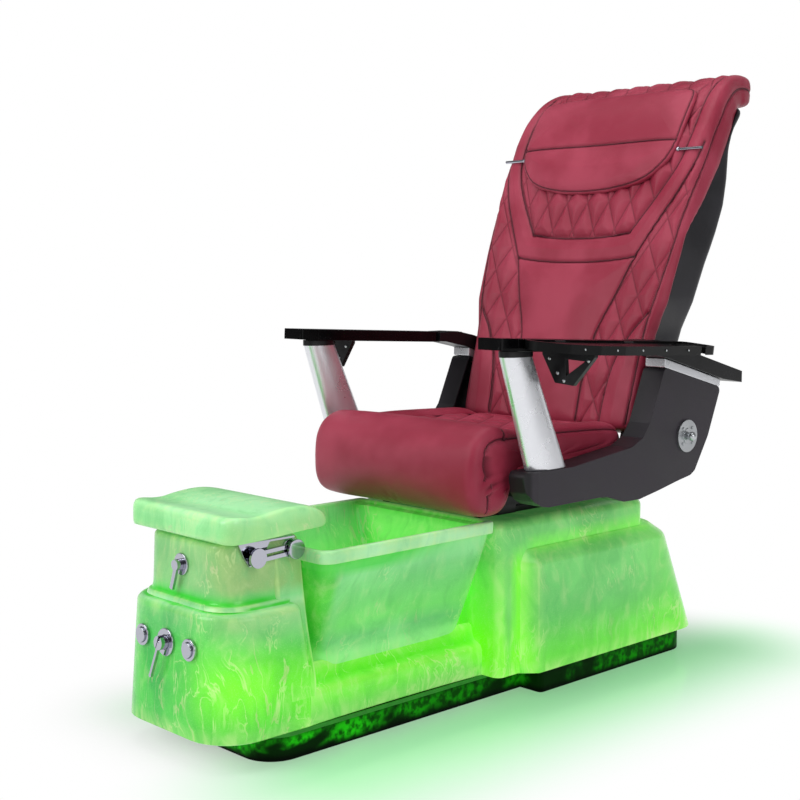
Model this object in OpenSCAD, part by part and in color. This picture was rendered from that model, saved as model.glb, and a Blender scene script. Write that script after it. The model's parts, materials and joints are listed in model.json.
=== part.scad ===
// Pedicure spa chair.
// A moulded base with a foot tub carries a sliding seat with a reclining
// backrest, lift-up arms with flip-up trays, and a parallel-link footrest.
// +Z is up, the sitter faces -Y and +X is the sitter's left. The origin is on
// the floor, under the middle of the base.

/* [Base] */
// Length of the front tower, along Y
tower_len = 233.5; // [200:0.5:280]
// Length of the foot tub, along Y
tub_len = 490; // [420:1:560]
// Length of the rear housing, along Y
rear_len = 739.5; // [650:0.5:820]
// Height of the black plinth
plinth_h = 60; // [45:1:80]
// Wall of the plinth
plinth_wall = 14; // [8:1:20]
// Gap from the tower's front to the plinth's front
plinth_setback = 120; // [60:1:150]
// Wall of the moulded housings
shell_wall = 6; // [4:0.5:9]
// Height of the tower's block above the plinth
block_h = 256; // [220:1:300]
// Width of the block at its foot
block_w = 372; // [330:1:420]
// Draft of the block over its height, per side
block_draft = 10; // [4:1:16]
// Radius of the block's front corners
block_corner = 90; // [40:1:110]
// Width of the column that carries the footrest
column_w = 270; // [220:1:300]
// Top of the column above the block
column_h = 124; // [100:1:150]
// How far the column's face stands behind the block's
column_setback = 51; // [30:1:70]
// Height of the housing's core above the plinth
rear_h = 352; // [320:1:400]
// Width of the housing's core
core_w = 470; // [440:1:500]
// Length of the housing's core
core_len = 537; // [500:1:560]
// Width of the housing's lower part
wide_w = 536; // [510:1:560]
// Height of the housing's lower part
wide_h = 285; // [240:1:300]
// How far the lower part starts behind the housing's front
wide_setback = 69; // [40:1:90]
// How far the sloped rear face leans in over its height
rear_lean = 121; // [60:1:150]
// Draft of the lower part's sides over its height
wide_draft = 6; // [2:0.5:12]
// Length of the bevel that leads into the lower part
wide_bevel = 34; // [20:1:50]

/* [Tub] */
// Width over the rim
rim_w = 444; // [400:1:468]
// Height of the rim band
rim_h = 28; // [18:1:40]
// Width of the rim's flat top
rim_flat = 26; // [16:1:36]
// Depth of the basin from the rim to its floor
basin_depth = 243; // [200:1:270]
// Wall of the basin
basin_wall = 8; // [5:0.5:12]
// Width of the basin's foot
basin_foot_w = 296; // [260:1:330]
// Height of the skirt's edge above the plinth
skirt_h = 68; // [50:1:85]

/* [Fittings] */
// Height of the mixer above the floor
mixer_z = 237; // [200:1:260]
// Radius of the mixer's escutcheon
mixer_r = 27.5; // [24:0.5:34]
// Radius of the drain lever's escutcheon
drain_plate_r = 22.5; // [20:0.5:28]
// Height of the drain lever above the floor
drain_lever_z = 387; // [360:1:410]
// Length of the levers from their axis
lever_len = 74; // [50:1:90]
// Lean of the levers from the vertical, degrees
lever_lean = 20; // [0:1:40]
// Distance of each push button from the middle
button_x = 80; // [60:1:100]
// Radius of a button's bezel
bezel_r = 22; // [18:0.5:26]
// Radius of a button's cap
button_r = 15; // [11:0.5:16]
// Travel of a button
button_travel = 3; // [2:0.5:4]
// Lift of the drain stopper
stopper_lift = 10; // [6:1:14]
// Radius of the jet's housing
jet_r = 48; // [40:1:60]

/* [Footrest] */
// Width of the pad
pad_w = 344; // [320:1:380]
// Length of the pad, along Y
pad_len = 248; // [220:1:270]
// Thickness of the pad at its front
pad_t = 52; // [40:1:60]
// Length of the link bars between pins
link_len = 95; // [85:1:120]
// Height of a link bar
link_h = 9; // [7:0.5:11]
// Thickness of a link bar
link_t = 8; // [5:0.5:10]
// Radius of the link pins
link_pin_r = 3.5; // [2.5:0.5:4]
// Radius of the clamp caps and front discs
cap_r = 20; // [18:1:24]

/* [Seat] */
// Distance between the seat rails
rail_gauge = 300; // [240:2:360]
// Length of the seat rails
rail_len = 515; // [490:1:530]
// Height of the seat rails
rail_h = 14; // [10:1:18]
// Height of the seat frame
frame_h = 51; // [48:1:60]
// Thickness of the seat pan
pan_t = 12; // [8:1:18]
// Width of the seat cushion
seat_w = 524; // [480:1:540]
// Depth of the seat cushion, front to rear
seat_depth = 523; // [480:1:528]
// How far the cushion's roll stands before the tub's rear edge
seat_overhang = 117; // [80:1:140]
// Thickness of the cushion over the pan
cushion_t = 108; // [90:1:125]
// How far the front roll hangs below the pan
roll_drop = 60; // [40:1:64]

/* [Side shells and arms] */
// Gap from the middle to the shell's inner face
shell_x = 286; // [284:1:300]
// Thickness of a side shell, along X
shell_t = 60; // [50:1:70]
// Wall of a side shell
cover_wall = 4; // [3:0.5:6]
// Height of the posts
post_h = 247; // [220:1:260]
// How far the post's top stands forward of its foot
post_lean = 99; // [60:1:120]
// Length of the post's section at its top
post_len = 88; // [70:1:110]
// Thickness of the post's section
post_t = 44; // [34:1:50]
// Height of the post's collar
collar_h = 12; // [8:1:16]
// Width of the arm beam
beam_w = 68; // [56:1:74]
// Thickness of the arm beam
beam_t = 27; // [22:1:32]
// Slope of the arm towards the rear, degrees
arm_slope = 2.5; // [0:0.5:4]
// Width of the side tray
tray_w = 115; // [90:1:130]
// Length of the side tray
tray_len = 585; // [500:1:600]
// Thickness of the side tray
tray_t = 20; // [14:1:24]
// Outward slope of the side tray, degrees
tray_slope = 5; // [0:1:7]
// Radius of the cup opening
cup_r = 42; // [34:1:45]
// Radius of the arm's lift pin
arm_pin_r = 6; // [4:0.5:8]
// Radius of the purse hook's plate
hook_r = 39; // [30:1:42]

/* [Backrest] */
// Radius of the recline pins
recline_pin_r = 10; // [8:0.5:12]
// Thickness of the backrest cushion
back_t = 62; // [50:1:70]
// Half width of the backrest at the shoulders
back_half_w = 316; // [290:1:324]
// Half width of the backrest at its foot
back_foot_half_w = 275; // [250:1:277]
// Thickness of the head pillow
pillow_t = 28; // [22:1:45]
// Wall of the rear shell
back_wall = 4; // [3:0.5:6]

/* [Hidden] */
$fn = 48;

// Clearances
run_gap = 0.05;     // radial, shaft in bore
slide_gap = 0.3;    // between sliding faces
soft_gap = 0.3;     // soft part to its seat
eps = 0.01;

// Base, front to rear
base_len = tower_len + tub_len + rear_len;
y_front = -base_len / 2;
y_tub = y_front + tower_len;
y_join = y_tub + tub_len;
y_rear = y_join + rear_len;
block_top = plinth_h + block_h;
column_top = block_top + column_h;
rear_top = plinth_h + rear_h;
wide_top = plinth_h + wide_h;
block_round = 16;
face_h = block_h - block_round;
face_lean = 14.5;
front_tilt = atan(face_lean / face_h);
column_y = y_front + column_setback;

// Tub
rim_top = rear_top + 4;
basin_foot_z = rim_top - basin_depth - basin_wall;
basin_floor_z = rim_top - basin_depth;
ledge_w = 36;

// Plinth plan
plinth_front_half = block_w / 2 - 10;
plinth_rear_half = wide_w / 2 - 30;
plinth_y0 = y_front + plinth_setback;
plinth_step_y = y_join + wide_setback + 73;
plinth_y1 = y_rear - 20;
led_t = 4;
led_h = 8;

// Fittings
plate_t = 6;
hub_r = 14;
hub_len = 22;
stem_r = 6;
cartridge_r = 18;
cartridge_len = 46;
lever_w = 10;
lever_t = 6;
drain_x = 0;
drain_y = y_tub + tub_len * 0.42;
drain_bore_r = 23;
stopper_stem_r = 4;
jet_z = basin_floor_z + 97;
jet_depth = 24;
impeller_r = 30;

// Footrest linkage: R pins on the column, P pins on the pad's brackets
pin_step = 15;
clamp_y = y_tub - cap_r - 1;
clamp_z = column_top - 23;
r1 = [clamp_y + pin_step / 2, clamp_z + pin_step / 2];
r2 = r1 - [pin_step, pin_step];
link_fall = 5;
link_run = sqrt(link_len * link_len - link_fall * link_fall);
p1 = r1 - [link_run, link_fall];
p2 = r2 - [link_run, link_fall];
clamp_base_t = 7;
bar_x = column_w / 2 + clamp_base_t + 2;
cap_x = bar_x + link_t + 2;
cap_t = 6;
pad_z = column_top + 6;
pad_y1 = y_tub + 49;
pad_y0 = pad_y1 - pad_len;

// Seat, above the housing's top
screw_r = 7;
screw_z = rear_top + screw_r + 6;
seat_y = y_join + 8;
rail_top = rear_top + rail_h;
block_wrap = 8;
frame_z = rail_top + block_wrap;
pan_z = frame_z + frame_h;
cushion_z = pan_z + pan_t + soft_gap;
cushion_top = cushion_z + cushion_t;
cushion_y0 = y_join - seat_overhang;
cushion_y1 = cushion_y0 + seat_depth;
board_t = 6;
track_len = 390;
track_d = 88;
carriage_at = 60;
rail_r = 6;
track_rail_x = 80;
track_screw_r = 5;
roller_x = 30;
roller_r = 20;
roller_w = 24;
axle_r = 4;
pivot_y = seat_y + 440;
pivot_z = rear_top + 148;
upstand_t = 6;
upstand_x = shell_x - upstand_t - 1;
side_plate_x = 238;
frame_tube = 32;

// Side shell outline, in Y and Z from the seat's origin on the housing
deck_z = 126;
shell_outline = [
    [-36, deck_z - 12], [-30, deck_z], [110, deck_z], [320, 150], [362, 168], [388, 200], [444, 327], [678, 268],
    [627, 152], [574, 72], [556, 62], [501, 53], [429, 39], [351, 26], [294, 27], [231, 45], [202, 47], [29, 46],
    [4, 50], [-18, 62], [-31, 80]
];
upright_top = [[444, 327], [678, 268]];
upright_slope = atan2(upright_top[1][1] - upright_top[0][1], upright_top[1][0] - upright_top[0][0]);
trim_t = 22;
function upright_z(y) =
    upright_top[0][1] - tan(-upright_slope) * (y - upright_top[0][0]);

// Arms
arm_x = shell_x - 1;
arm_mid_x = arm_x + beam_w / 2;
post_y = seat_y + 46;
post_z = rear_top + deck_z;
post_top_y = post_y - post_lean;
post_top_z = post_z + post_h;
arm_ref_y = post_top_y;
arm_ref_z = post_top_z + collar_h;
nose_len = 55;
nose_y = post_top_y - 32;
arm_len = 393;
function arm_point(y, z) = [
    arm_ref_y + y * cos(arm_slope) + z * sin(arm_slope), arm_ref_z - y * sin(arm_slope) + z * cos(arm_slope)
];
arm_pivot_y = arm_point(arm_len, beam_t / 2)[0];
arm_pivot_z = arm_point(arm_len, beam_t / 2)[1];
tail_gap = 1;
tray_x = arm_x + beam_w + 2;
tray_y0 = nose_y + 2;
bracket_y = seat_y + 44;
bracket_t = 12;
hinge_r = 3;
knuckle_r = 5;
knuckle_len = 34;
hinge_at = [6.5, tray_t - 6];
knuckle_at = [90, 330];
pin_len = knuckle_len + 34;

// Backrest: front line from foot to top, in Y and Z
back_line = [
    [410, 612], [431, 700], [460, 800], [492, 900], [526, 1000], [561, 1100], [598, 1200], [641, 1295],
    [690, 1372], [742, 1417], [800, 1438], [856, 1434]
];
back_ref = [440, 560];
back_half = [
    [612, back_foot_half_w], [780, back_foot_half_w + 3], [825, back_foot_half_w + 8],
    [893, back_half_w - 14], [1018, back_half_w - 6],
    [1151, back_half_w - 2], [1256, back_half_w], [1364, back_half_w - 3], [1420, back_half_w - 26],
    [1448, back_half_w - 54]
];

// Plan with square or rounded corners: front pair rf, rear pair rr.
module plan(half, y0, y1, rf, rr) {
    translate([-half, y0 + rf]) square([2 * half, y1 - y0 - rf - rr]);
    translate([-half + rf, y0]) square([2 * (half - rf), rf + eps]);
    translate([-half + rr, y1 - rr - eps]) square([2 * (half - rr), rr + eps]);
    for (s = [-1, 1]) {
        if (rf > 0) translate([s * (half - rf), y0 + rf]) circle(rf);
        if (rr > 0) translate([s * (half - rr), y1 - rr]) circle(rr);
    }
}

// Slab of a plan at height z.
module slab(z, h, half, y0, y1, rf, rr) {
    translate([0, 0, z]) linear_extrude(h) plan(half, y0, y1, rf, rr);
}

// Extrudes a Y-Z outline along X from x0 to x1.
module along_x(x0, x1) {
    translate([x0, 0, 0]) rotate([90, 0, 90]) linear_extrude(x1 - x0) children();
}

// Extrudes an X-Z outline along Y from y0 to y1.
module along_y(y0, y1) {
    translate([0, y1, 0]) rotate([90, 0, 0]) linear_extrude(y1 - y0) children();
}

// Cylinder along X, and along Y, that starts at the given point.
module rod_x(p, r, len) {
    translate(p) rotate([0, 90, 0]) cylinder(h = len, r = r);
}

module rod_y(p, r, len) {
    translate(p) rotate([-90, 0, 0]) cylinder(h = len, r = r);
}

module both_sides() {
    children();
    mirror([1, 0, 0]) children();
}

// Square with rounded corners between two points.
module round_square(p, q, r) {
    translate(p + [r, 0]) square([q[0] - p[0] - 2 * r, q[1] - p[1]]);
    translate(p + [0, r]) square([q[0] - p[0], q[1] - p[1] - 2 * r]);
    for (x = [p[0] + r, q[0] - r], y = [p[1] + r, q[1] - r]) translate([x, y]) circle(r);
}

// ---------------------------------------------------------------- base

module plinth_plan(grow) {
    plan(plinth_front_half + grow, plinth_y0 - grow, plinth_step_y + 20, 70 + grow, 0);
    plan(plinth_rear_half + grow, plinth_step_y - grow, plinth_y1 + grow, 12, 60 + grow);
}

module plinth() {
    floor_t = 5;
    color("#141514") difference() {
        linear_extrude(plinth_h) plinth_plan(0);
        translate([0, 0, floor_t]) linear_extrude(plinth_h) plinth_plan(-plinth_wall);
    }
}

module led_strip() {
    color("#6cf53a") translate([0, 0, plinth_h - led_h - 2]) linear_extrude(led_h) difference() {
        plinth_plan(led_t);
        plinth_plan(0);
    }
}

// Point of the block's front face at height z.
function face_y(z) = y_front + face_lean * (z - plinth_h - 1) / face_h;

module on_face(x, z) {
    translate([x, face_y(z), z]) rotate([-front_tilt, 0, 0]) children();
}

module block_body(inset, z0, z1) {
    half = block_w / 2 - inset;
    top_half = half - block_draft;
    hull() {
        slab(z0, 1, half, y_front + inset, y_tub - inset, block_corner - inset, 8);
        slab(z1 - block_round, 1, top_half, y_front + face_lean + inset, y_tub - inset, block_corner - inset, 8);
        slab(z1 - 1, 1, top_half - 12, y_front + face_lean + 13 + inset, y_tub - inset, block_corner - inset, 8);
    }
}

// Block with a lip round the seat of the footrest column.
module front_tower() {
    wall = shell_wall;
    half = column_w / 2;
    color("#46d455") difference() {
        union() {
            block_body(0, plinth_h, block_top);
            slab(block_top - 1, 8, half + 6, column_y - 6, y_tub, 56, 0);
        }
        block_body(wall, plinth_h + wall, block_top - wall);
        slab(block_top, 20, half + slide_gap, column_y - slide_gap, y_tub + 1, 50 + slide_gap, 0);
        slab(block_top - wall - 1, 3 * wall, half - 2 * wall, column_y + 2 * wall, y_tub - 2 * wall, 38, 0);
        slab(plinth_h - 1, wall + 2, block_w / 2 - 50, plinth_y0 + 30, y_tub - 30, 20, 20);
        on_face(0, mixer_z) rod_y([0, -2, 0], cartridge_r - 2, 3 * wall);
        for (s = [-1, 1]) on_face(s * button_x, mixer_z) rod_y([0, -2, 0], button_r - 3, 3 * wall);
    }
}

// Hollow column that stands in the lip and carries the footrest.
module footrest_column() {
    wall = shell_wall;
    half = column_w / 2;
    color("#6fd47a") difference() {
        slab(block_top, column_h, half, column_y, y_tub, 50, 0);
        slab(block_top - 1, column_h + 1 - wall, half - wall, column_y + wall, y_tub - wall, 44, 0);
        rod_y([0, column_y - 2, drain_lever_z], stem_r + 2, 3 * wall);
    }
}

module tub_skirt() {
    half = block_w / 2;
    wall = shell_wall;
    edge = plinth_h + skirt_h;
    top = basin_foot_z;
    inner = half - ledge_w;
    color("#58e53c") both_sides() along_y(y_tub, y_join) polygon([
        [half, plinth_h], [half, edge], [half - 7, edge + 12], [inner, top], [inner - 8, top],
        [inner - 8, top - wall], [inner - 1, top - wall], [half - 7 - wall, edge + 8], [half - wall, edge - 2],
        [half - wall, plinth_h + wall], [half - ledge_w, plinth_h + wall], [half - ledge_w, plinth_h]
    ]);
}

// Core of the rear housing, drawn in by the inset.
module core_body(inset) {
    half = core_w / 2 - inset;
    y1 = y_join + core_len - inset;
    z0 = plinth_h + inset;
    z1 = rear_top - inset;
    round = 18;
    intersection() {
        slab(z0, z1 - z0, half, y_join + inset, y1, 10, 20);
        along_x(-half, half) round_square([y_join + inset, z0 - 40], [y1, z1], round);
        along_y(y_join, y1) round_square([-half, z0 - 40], [half, z1], round);
    }
}

// Wider lower part with bevelled front, drafted sides and a sloped rear,
// drawn in by the inset.
module wide_body(inset) {
    half = wide_w / 2 - inset;
    inner = core_w / 2 - inset;
    y0 = y_join + wide_setback + inset;
    y1 = y_rear - inset;
    z0 = plinth_h + inset;
    z1 = wide_top - inset;
    round = 8;
    intersection() {
        translate([0, 0, z0]) linear_extrude(z1 - z0) union() {
            plan(half, y0 + wide_bevel, y1, 0, 80);
            polygon([[inner, y0], [half, y0 + wide_bevel + 1], [-half, y0 + wide_bevel + 1], [-inner, y0]]);
        }
        along_x(-half, half) polygon([
            [y0, z0], [y1, z0], [y1 - rear_lean, z1 - round], [y1 - rear_lean - round, z1], [y0, z1]
        ]);
        along_y(y0, y1) polygon([
            [half, z0], [half - wide_draft, z1 - round], [half - wide_draft - round, z1],
            [wide_draft + round - half, z1], [wide_draft - half, z1 - round], [-half, z0]
        ]);
    }
}

module rear_housing() {
    wall = shell_wall;
    color("#46d455") difference() {
        union() {
            core_body(0);
            wide_body(0);
        }
        core_body(wall);
        wide_body(wall);
        slab(plinth_h - 1, wall + 2, plinth_rear_half - 50, y_join + 60, y_rear - 90, 30, 30);
        rod_y([0, y_join - 1, jet_z], jet_r + 2, wall + 2);
    }
}

module tub_basin() {
    half = rim_w / 2;
    y0 = y_tub;
    y1 = y_join;
    wall = basin_wall;
    foot = basin_foot_w / 2;
    color("#7bea8f") difference() {
        union() {
            slab(rim_top - rim_h, rim_h, half, y0, y1, 26, 6);
            hull() {
                slab(rim_top - rim_h, 1, half - 9, y0 + 6, y1, 30, 6);
                slab(basin_foot_z, 1, foot, y0 + 44, y1, 40, 6);
            }
        }
        hull() {
            slab(rim_top + 1, 1, half - rim_flat, y0 + rim_flat, y1 - 20, 34, 34);
            slab(basin_floor_z, 1, foot - wall, y0 + 44 + wall, y1 - 20, 34, 20);
        }
        translate([drain_x, drain_y, basin_foot_z - 1]) cylinder(h = 2 * wall, r = drain_bore_r);
    }
}

module drain_fitting() {
    flange_r = drain_bore_r + 9;
    color("#d9dce0") difference() {
        translate([drain_x, drain_y, 0]) union() {
            translate([0, 0, basin_floor_z]) cylinder(h = 3, r = flange_r);
            translate([0, 0, basin_foot_z - 44]) cylinder(h = 44 + basin_wall + 1, r = drain_bore_r - 0.3);
            translate([0, 0, basin_foot_z - 10]) cylinder(h = 10, r = flange_r);
        }
        translate([drain_x, drain_y, basin_foot_z]) cylinder(h = 40, r = drain_bore_r - 5);
        translate([drain_x, drain_y, basin_foot_z - 60]) cylinder(h = 80, r = stopper_stem_r + run_gap);
    }
}

module drain_stopper() {
    color("#d9dce0") translate([drain_x, drain_y, 0]) {
        translate([0, 0, basin_floor_z + 3 + 0.3]) cylinder(h = 4, r = drain_bore_r - 2);
        translate([0, 0, basin_foot_z - 20 - stopper_lift])
            cylinder(h = 20 + stopper_lift + basin_wall + 4, r = stopper_stem_r);
    }
}

module jet_housing() {
    y = y_join - 20;
    color("#e8f4ea") difference() {
        union() {
            rod_y([0, y - jet_depth, jet_z], jet_r, jet_depth);
        }
        rod_y([0, y - jet_depth + 4, jet_z], impeller_r + 4, jet_depth - 8);
        for (a = [0:60:300]) rod_y([22 * cos(a), y - jet_depth - 1, jet_z + 22 * sin(a)], 6, 8);
    }
    color("#c8ccd0") rod_y([0, y - jet_depth + 3.5, jet_z], 3, jet_depth - 7);
}

module jet_impeller() {
    y = y_join - 20 - jet_depth + 7;
    color("#30363c") difference() {
        union() {
            rod_y([0, y, jet_z], 12, 9);
            for (a = [0:60:300]) translate([0, y, jet_z]) rotate([0, a, 0]) translate([8, 0, -2])
                cube([impeller_r - 8, 9, 4]);
        }
        rod_y([0, y - 1, jet_z], 3 + run_gap, 12);
    }
}

module jet_motor() {
    color("#3a3d40") {
        rod_y([0, y_join, jet_z], jet_r - 3, 70);
        rod_y([0, y_join + 70, jet_z], jet_r - 16, 18);
    }
}

module fill_spout() {
    color("#dfe3e6") difference() {
        translate([-32, y_tub + 4, rim_top]) cube([64, 34, 14]);
        translate([-26, y_tub + 12, rim_top + 4]) cube([52, 30, 5]);
    }
}

module mixer_escutcheon() {
    color("#dfe3e6") on_face(0, mixer_z) difference() {
        rod_y([0, -plate_t, 0], mixer_r, plate_t);
        rod_y([0, -plate_t - 1, 0], hub_r + slide_gap, plate_t + 2);
    }
}

module mixer_cartridge() {
    color("#b9923a") on_face(0, mixer_z) difference() {
        rod_y([0, slide_gap, 0], cartridge_r - 2.3, cartridge_len);
        rod_y([0, -1, 0], stem_r + run_gap, cartridge_len - 6);
    }
}

module mixer_hub() {
    color("#e6e9ec") on_face(0, mixer_z) difference() {
        union() {
            rod_y([0, -hub_len, 0], hub_r, hub_len);
            rod_y([0, -1, 0], stem_r, cartridge_len - 12);
        }
        rotate([0, lever_lean, 0]) translate([-lever_t / 2 - slide_gap, -hub_len - 1, -hub_r - 1])
            cube([lever_t + 2 * slide_gap, 13, 2 * hub_r + 2]);
    }
    color("#c8ccd0") on_face(0, mixer_z) rotate([0, lever_lean, 0])
        rod_x([-hub_r + 3, -hub_len + 6, 0], 2, 2 * hub_r - 6);
}

module mixer_lever() {
    color("#e6e9ec") on_face(0, mixer_z) rotate([0, lever_lean, 0]) difference() {
        union() {
            rod_x([-lever_t / 2, -hub_len + 6, 0], 5, lever_t);
            translate([-lever_t / 2, -hub_len + 1, -lever_len]) cube([lever_t, 7, lever_len]);
            rod_y([0, -hub_len + 1, -lever_len], lever_t / 2 + 1, 7);
        }
        rod_x([-lever_t, -hub_len + 6, 0], 2 + run_gap, 2 * lever_t);
    }
}

module drain_escutcheon() {
    y = column_y;
    color("#dfe3e6") difference() {
        union() {
            rod_y([0, y - plate_t, drain_lever_z], drain_plate_r, plate_t);
            rod_y([0, y - 1, drain_lever_z], stem_r + 1.7, cartridge_len);
        }
        rod_y([0, y - plate_t - 1, drain_lever_z], stem_r - 2 + run_gap, cartridge_len);
    }
}

module drain_lever() {
    y = column_y - plate_t - slide_gap;
    color("#e6e9ec") {
        rod_y([0, y - 14, drain_lever_z], 11, 14);
        rod_y([0, y - 1, drain_lever_z], stem_r - 2, cartridge_len - 10);
        translate([0, y - 14, drain_lever_z]) rotate([0, lever_lean, 0]) translate([-lever_w / 2, 3, -54])
            cube([lever_w, 6, 54]);
    }
}

module button_bezels() {
    color("#dfe3e6") for (s = [-1, 1]) on_face(s * button_x, mixer_z) difference() {
        rod_y([0, -7, 0], bezel_r, 7);
        rod_y([0, -8, 0], button_r + run_gap, 9);
    }
}

module button_switches() {
    color("#202224") for (s = [-1, 1]) on_face(s * button_x, mixer_z) difference() {
        rod_y([0, slide_gap, 0], button_r - 3.3, 26);
        rod_y([0, -1, 0], 4 + run_gap, 1 + 12);
    }
}

module button(side) {
    color("#e6e9ec") on_face(side * button_x, mixer_z) {
        rod_y([0, -7 - 4, 0], button_r, 7 + 4 - button_travel - 0.5);
        rod_y([0, -7, 0], 4, 7 + 8);
    }
}

module button_left() { button(1); }
module button_right() { button(-1); }

// ------------------------------------------------------------ footrest

module footrest_clamps() {
    color("#e2e5e8") both_sides() {
        rod_x([column_w / 2, clamp_y, clamp_z], cap_r, clamp_base_t);
        for (p = [r1, r2]) rod_x([column_w / 2 + 2, p[0], p[1]], link_pin_r, cap_x - column_w / 2);
        rod_x([cap_x, clamp_y, clamp_z], cap_r, cap_t);
    }
}

// One flat bar between two pin points.
module link_bar(a, b) {
    length = norm(b - a);
    angle = atan2(b[1] - a[1], b[0] - a[0]);
    difference() {
        union() {
            rod_x([bar_x, a[0], a[1]], link_h / 2 + 1.5, link_t);
            rod_x([bar_x, b[0], b[1]], link_h / 2 + 1.5, link_t);
            translate([bar_x, a[0], a[1]]) rotate([angle, 0, 0]) translate([0, 0, -link_h / 2])
                cube([link_t, length, link_h]);
        }
        for (p = [a, b]) rod_x([bar_x - 1, p[0], p[1]], link_pin_r + run_gap, link_t + 2);
    }
}

module link_bars_upper() {
    color("#eceef0") both_sides() link_bar(r1, p1);
}

module link_bars_lower() {
    color("#eceef0") both_sides() difference() {
        link_bar(r2, p2);
        rod_x([bar_x - 1, p2[0], p2[1]], link_pin_r + 0.5, link_t + 2);
    }
}

module footrest_brackets() {
    x = column_w / 2 + slide_gap + 1;
    plate = clamp_base_t - 1;
    disc_y = (p1[0] + p2[0]) / 2;
    disc_z = (p1[1] + p2[1]) / 2;
    color("#dfe2e5") both_sides() {
        along_x(x, x + plate) polygon([
            [disc_y - 38, pad_z], [disc_y + 88, pad_z], [disc_y + 88, pad_z - 4], [disc_y + 40, pad_z - 9],
            [disc_y + 19, disc_z - 8], [disc_y + 8, disc_z - cap_r + 3], [disc_y - 10, disc_z - cap_r + 2],
            [disc_y - 22, disc_z]
        ]);
        translate([x, disc_y - 38, pad_z - 4]) cube([24, 126, 4]);
        for (p = [p1, p2]) rod_x([x + 1, p[0], p[1]], link_pin_r, cap_x - x);
        rod_x([cap_x, disc_y, disc_z], cap_r - 0.5, cap_t);
    }
}

// Pad outline in Y and Z from its rear lower edge: dished top, rolled rear.
module pad_outline() {
    y = pad_y1;
    len = pad_len;
    z = pad_z;
    t = pad_t;
    offset(6) offset(-6) polygon([
        [y - len, z + 2], [y - len + 3, z], [y - len * 0.53, z], [y - 2, z + t * 0.36], [y, z + t * 0.42],
        [y - 6, z + t * 0.6], [y - 18, z + t * 0.84], [y - 34, z + t * 0.97], [y - 60, z + t * 1.07],
        [y - 100, z + t * 1.07], [y - 140, z + t * 1.01], [y - 175, z + t * 0.95], [y - len + 34, z + t * 0.95],
        [y - len + 8, z + t], [y - len, z + t * 0.9]
    ]);
}

module footrest_pad() {
    half = pad_w / 2;
    color("#7fe38f") intersection() {
        along_x(-half, half) pad_outline();
        slab(pad_z - 1, 2 * pad_t, half, pad_y0, pad_y1 + 1, 34, 12);
    }
}

module footrest_bumpers() {
    color("#222222") for (s = [-1, 1], y = [column_y + 60, y_tub - 50])
        translate([s * (column_w / 2 - 45), y, column_top]) cylinder(h = pad_z - column_top - slide_gap, r = 9);
}

// ---------------------------------------------------------------- seat

module seat_rails() {
    x = rail_gauge / 2;
    y0 = y_join + 18;
    color("#8b8f94") both_sides() translate([x, 0, 0]) {
        translate([-9, y0, rear_top]) cube([18, rail_len, rail_h - 6]);
        translate([-15, y0, rear_top + rail_h - 6]) cube([30, rail_len, 6]);
    }
}

module slide_screw() {
    y0 = y_join + 18;
    color("#9aa0a6") rod_y([0, y0, screw_z], screw_r, rail_len);
    color("#44484c") for (y = [y0, y0 + rail_len - 12]) difference() {
        translate([-16, y, rear_top]) cube([32, 12, 2 * screw_r + 7]);
        rod_y([0, y - 1, screw_z], screw_r, 14);
    }
}

module slide_blocks() {
    x = rail_gauge / 2;
    color("#26282a") both_sides() for (y = [seat_y + 55, seat_y + 300]) difference() {
        translate([x - 24, y, rear_top + 3]) cube([48, 60, frame_z - rear_top - 3]);
        translate([x - 15 - slide_gap, y - 1, rear_top + rail_h - 6 - slide_gap])
            cube([30 + 2 * slide_gap, 62, 6 + 2 * slide_gap]);
        translate([x - 9 - slide_gap, y - 1, rear_top - 1]) cube([18 + 2 * slide_gap, 62, rail_h]);
    }
}

module slide_drive() {
    color("#303438") difference() {
        union() {
            translate([-38, seat_y + 120, rear_top + 4]) cube([76, 70, frame_z - rear_top]);
            translate([-rail_gauge / 2 + 24, seat_y + 130, frame_z]) cube([rail_gauge - 48, 50, 4]);
        }
        rod_y([0, seat_y + 119, screw_z], screw_r + slide_gap, 72);
    }
}

module seat_frame() {
    tube = frame_tube;
    x = rail_gauge / 2 + 24;
    color("#1d1f20") {
        both_sides() {
            translate([x - 48, seat_y + 10, frame_z]) cube([48, 400, tube]);
            translate([upstand_x, 0, 0]) difference() {
                along_x(0, upstand_t) polygon([
                    [seat_y + 330, frame_z], [seat_y + 476, frame_z], [pivot_y + 36, pivot_z + 20],
                    [pivot_y + 20, pivot_z + 40], [pivot_y - 22, pivot_z + 40], [pivot_y - 36, pivot_z + 16],
                    [seat_y + 330, frame_z + 46]
                ]);
                rod_x([-1, pivot_y, pivot_z], recline_pin_r + run_gap, upstand_t + 2);
            }
        }
        for (y = [40, 190, 340]) translate([0, seat_y + y, 0]) difference() {
            translate([-shell_x - 10, 0, frame_z + tube]) cube([2 * shell_x + 20, tube, frame_h - tube]);
            translate([-shell_x + 12, 3, frame_z + tube + 3])
                cube([2 * shell_x - 24, tube - 6, frame_h - tube - 6]);
        }
    }
}

module seat_pan() {
    half = seat_w / 2 - 6;
    color("#6d5a45") difference() {
        slab(pan_z, pan_t, half, seat_y + 2, cushion_y1 - 4, 20, 20);
        for (s = [-1, 1]) translate([s * 100, seat_y + 200, pan_z - 1]) cylinder(h = pan_t + 2, r = 30);
    }
}

// Smooth closed curve through hand-chosen points: n steps on each stretch.
function spline_point(a, b, c, d, t) =
    0.5 * ((2 * b) + (c - a) * t + (2 * a - 5 * b + 4 * c - d) * t * t + (3 * b - a - 3 * c + d) * t * t * t);
function closed_spline(p, n) = [
    for (i = [0:len(p) - 1], k = [0:n - 1])
        spline_point(p[(i + len(p) - 1) % len(p)], p[i], p[(i + 1) % len(p)], p[(i + 2) % len(p)], k / n)
];

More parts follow.
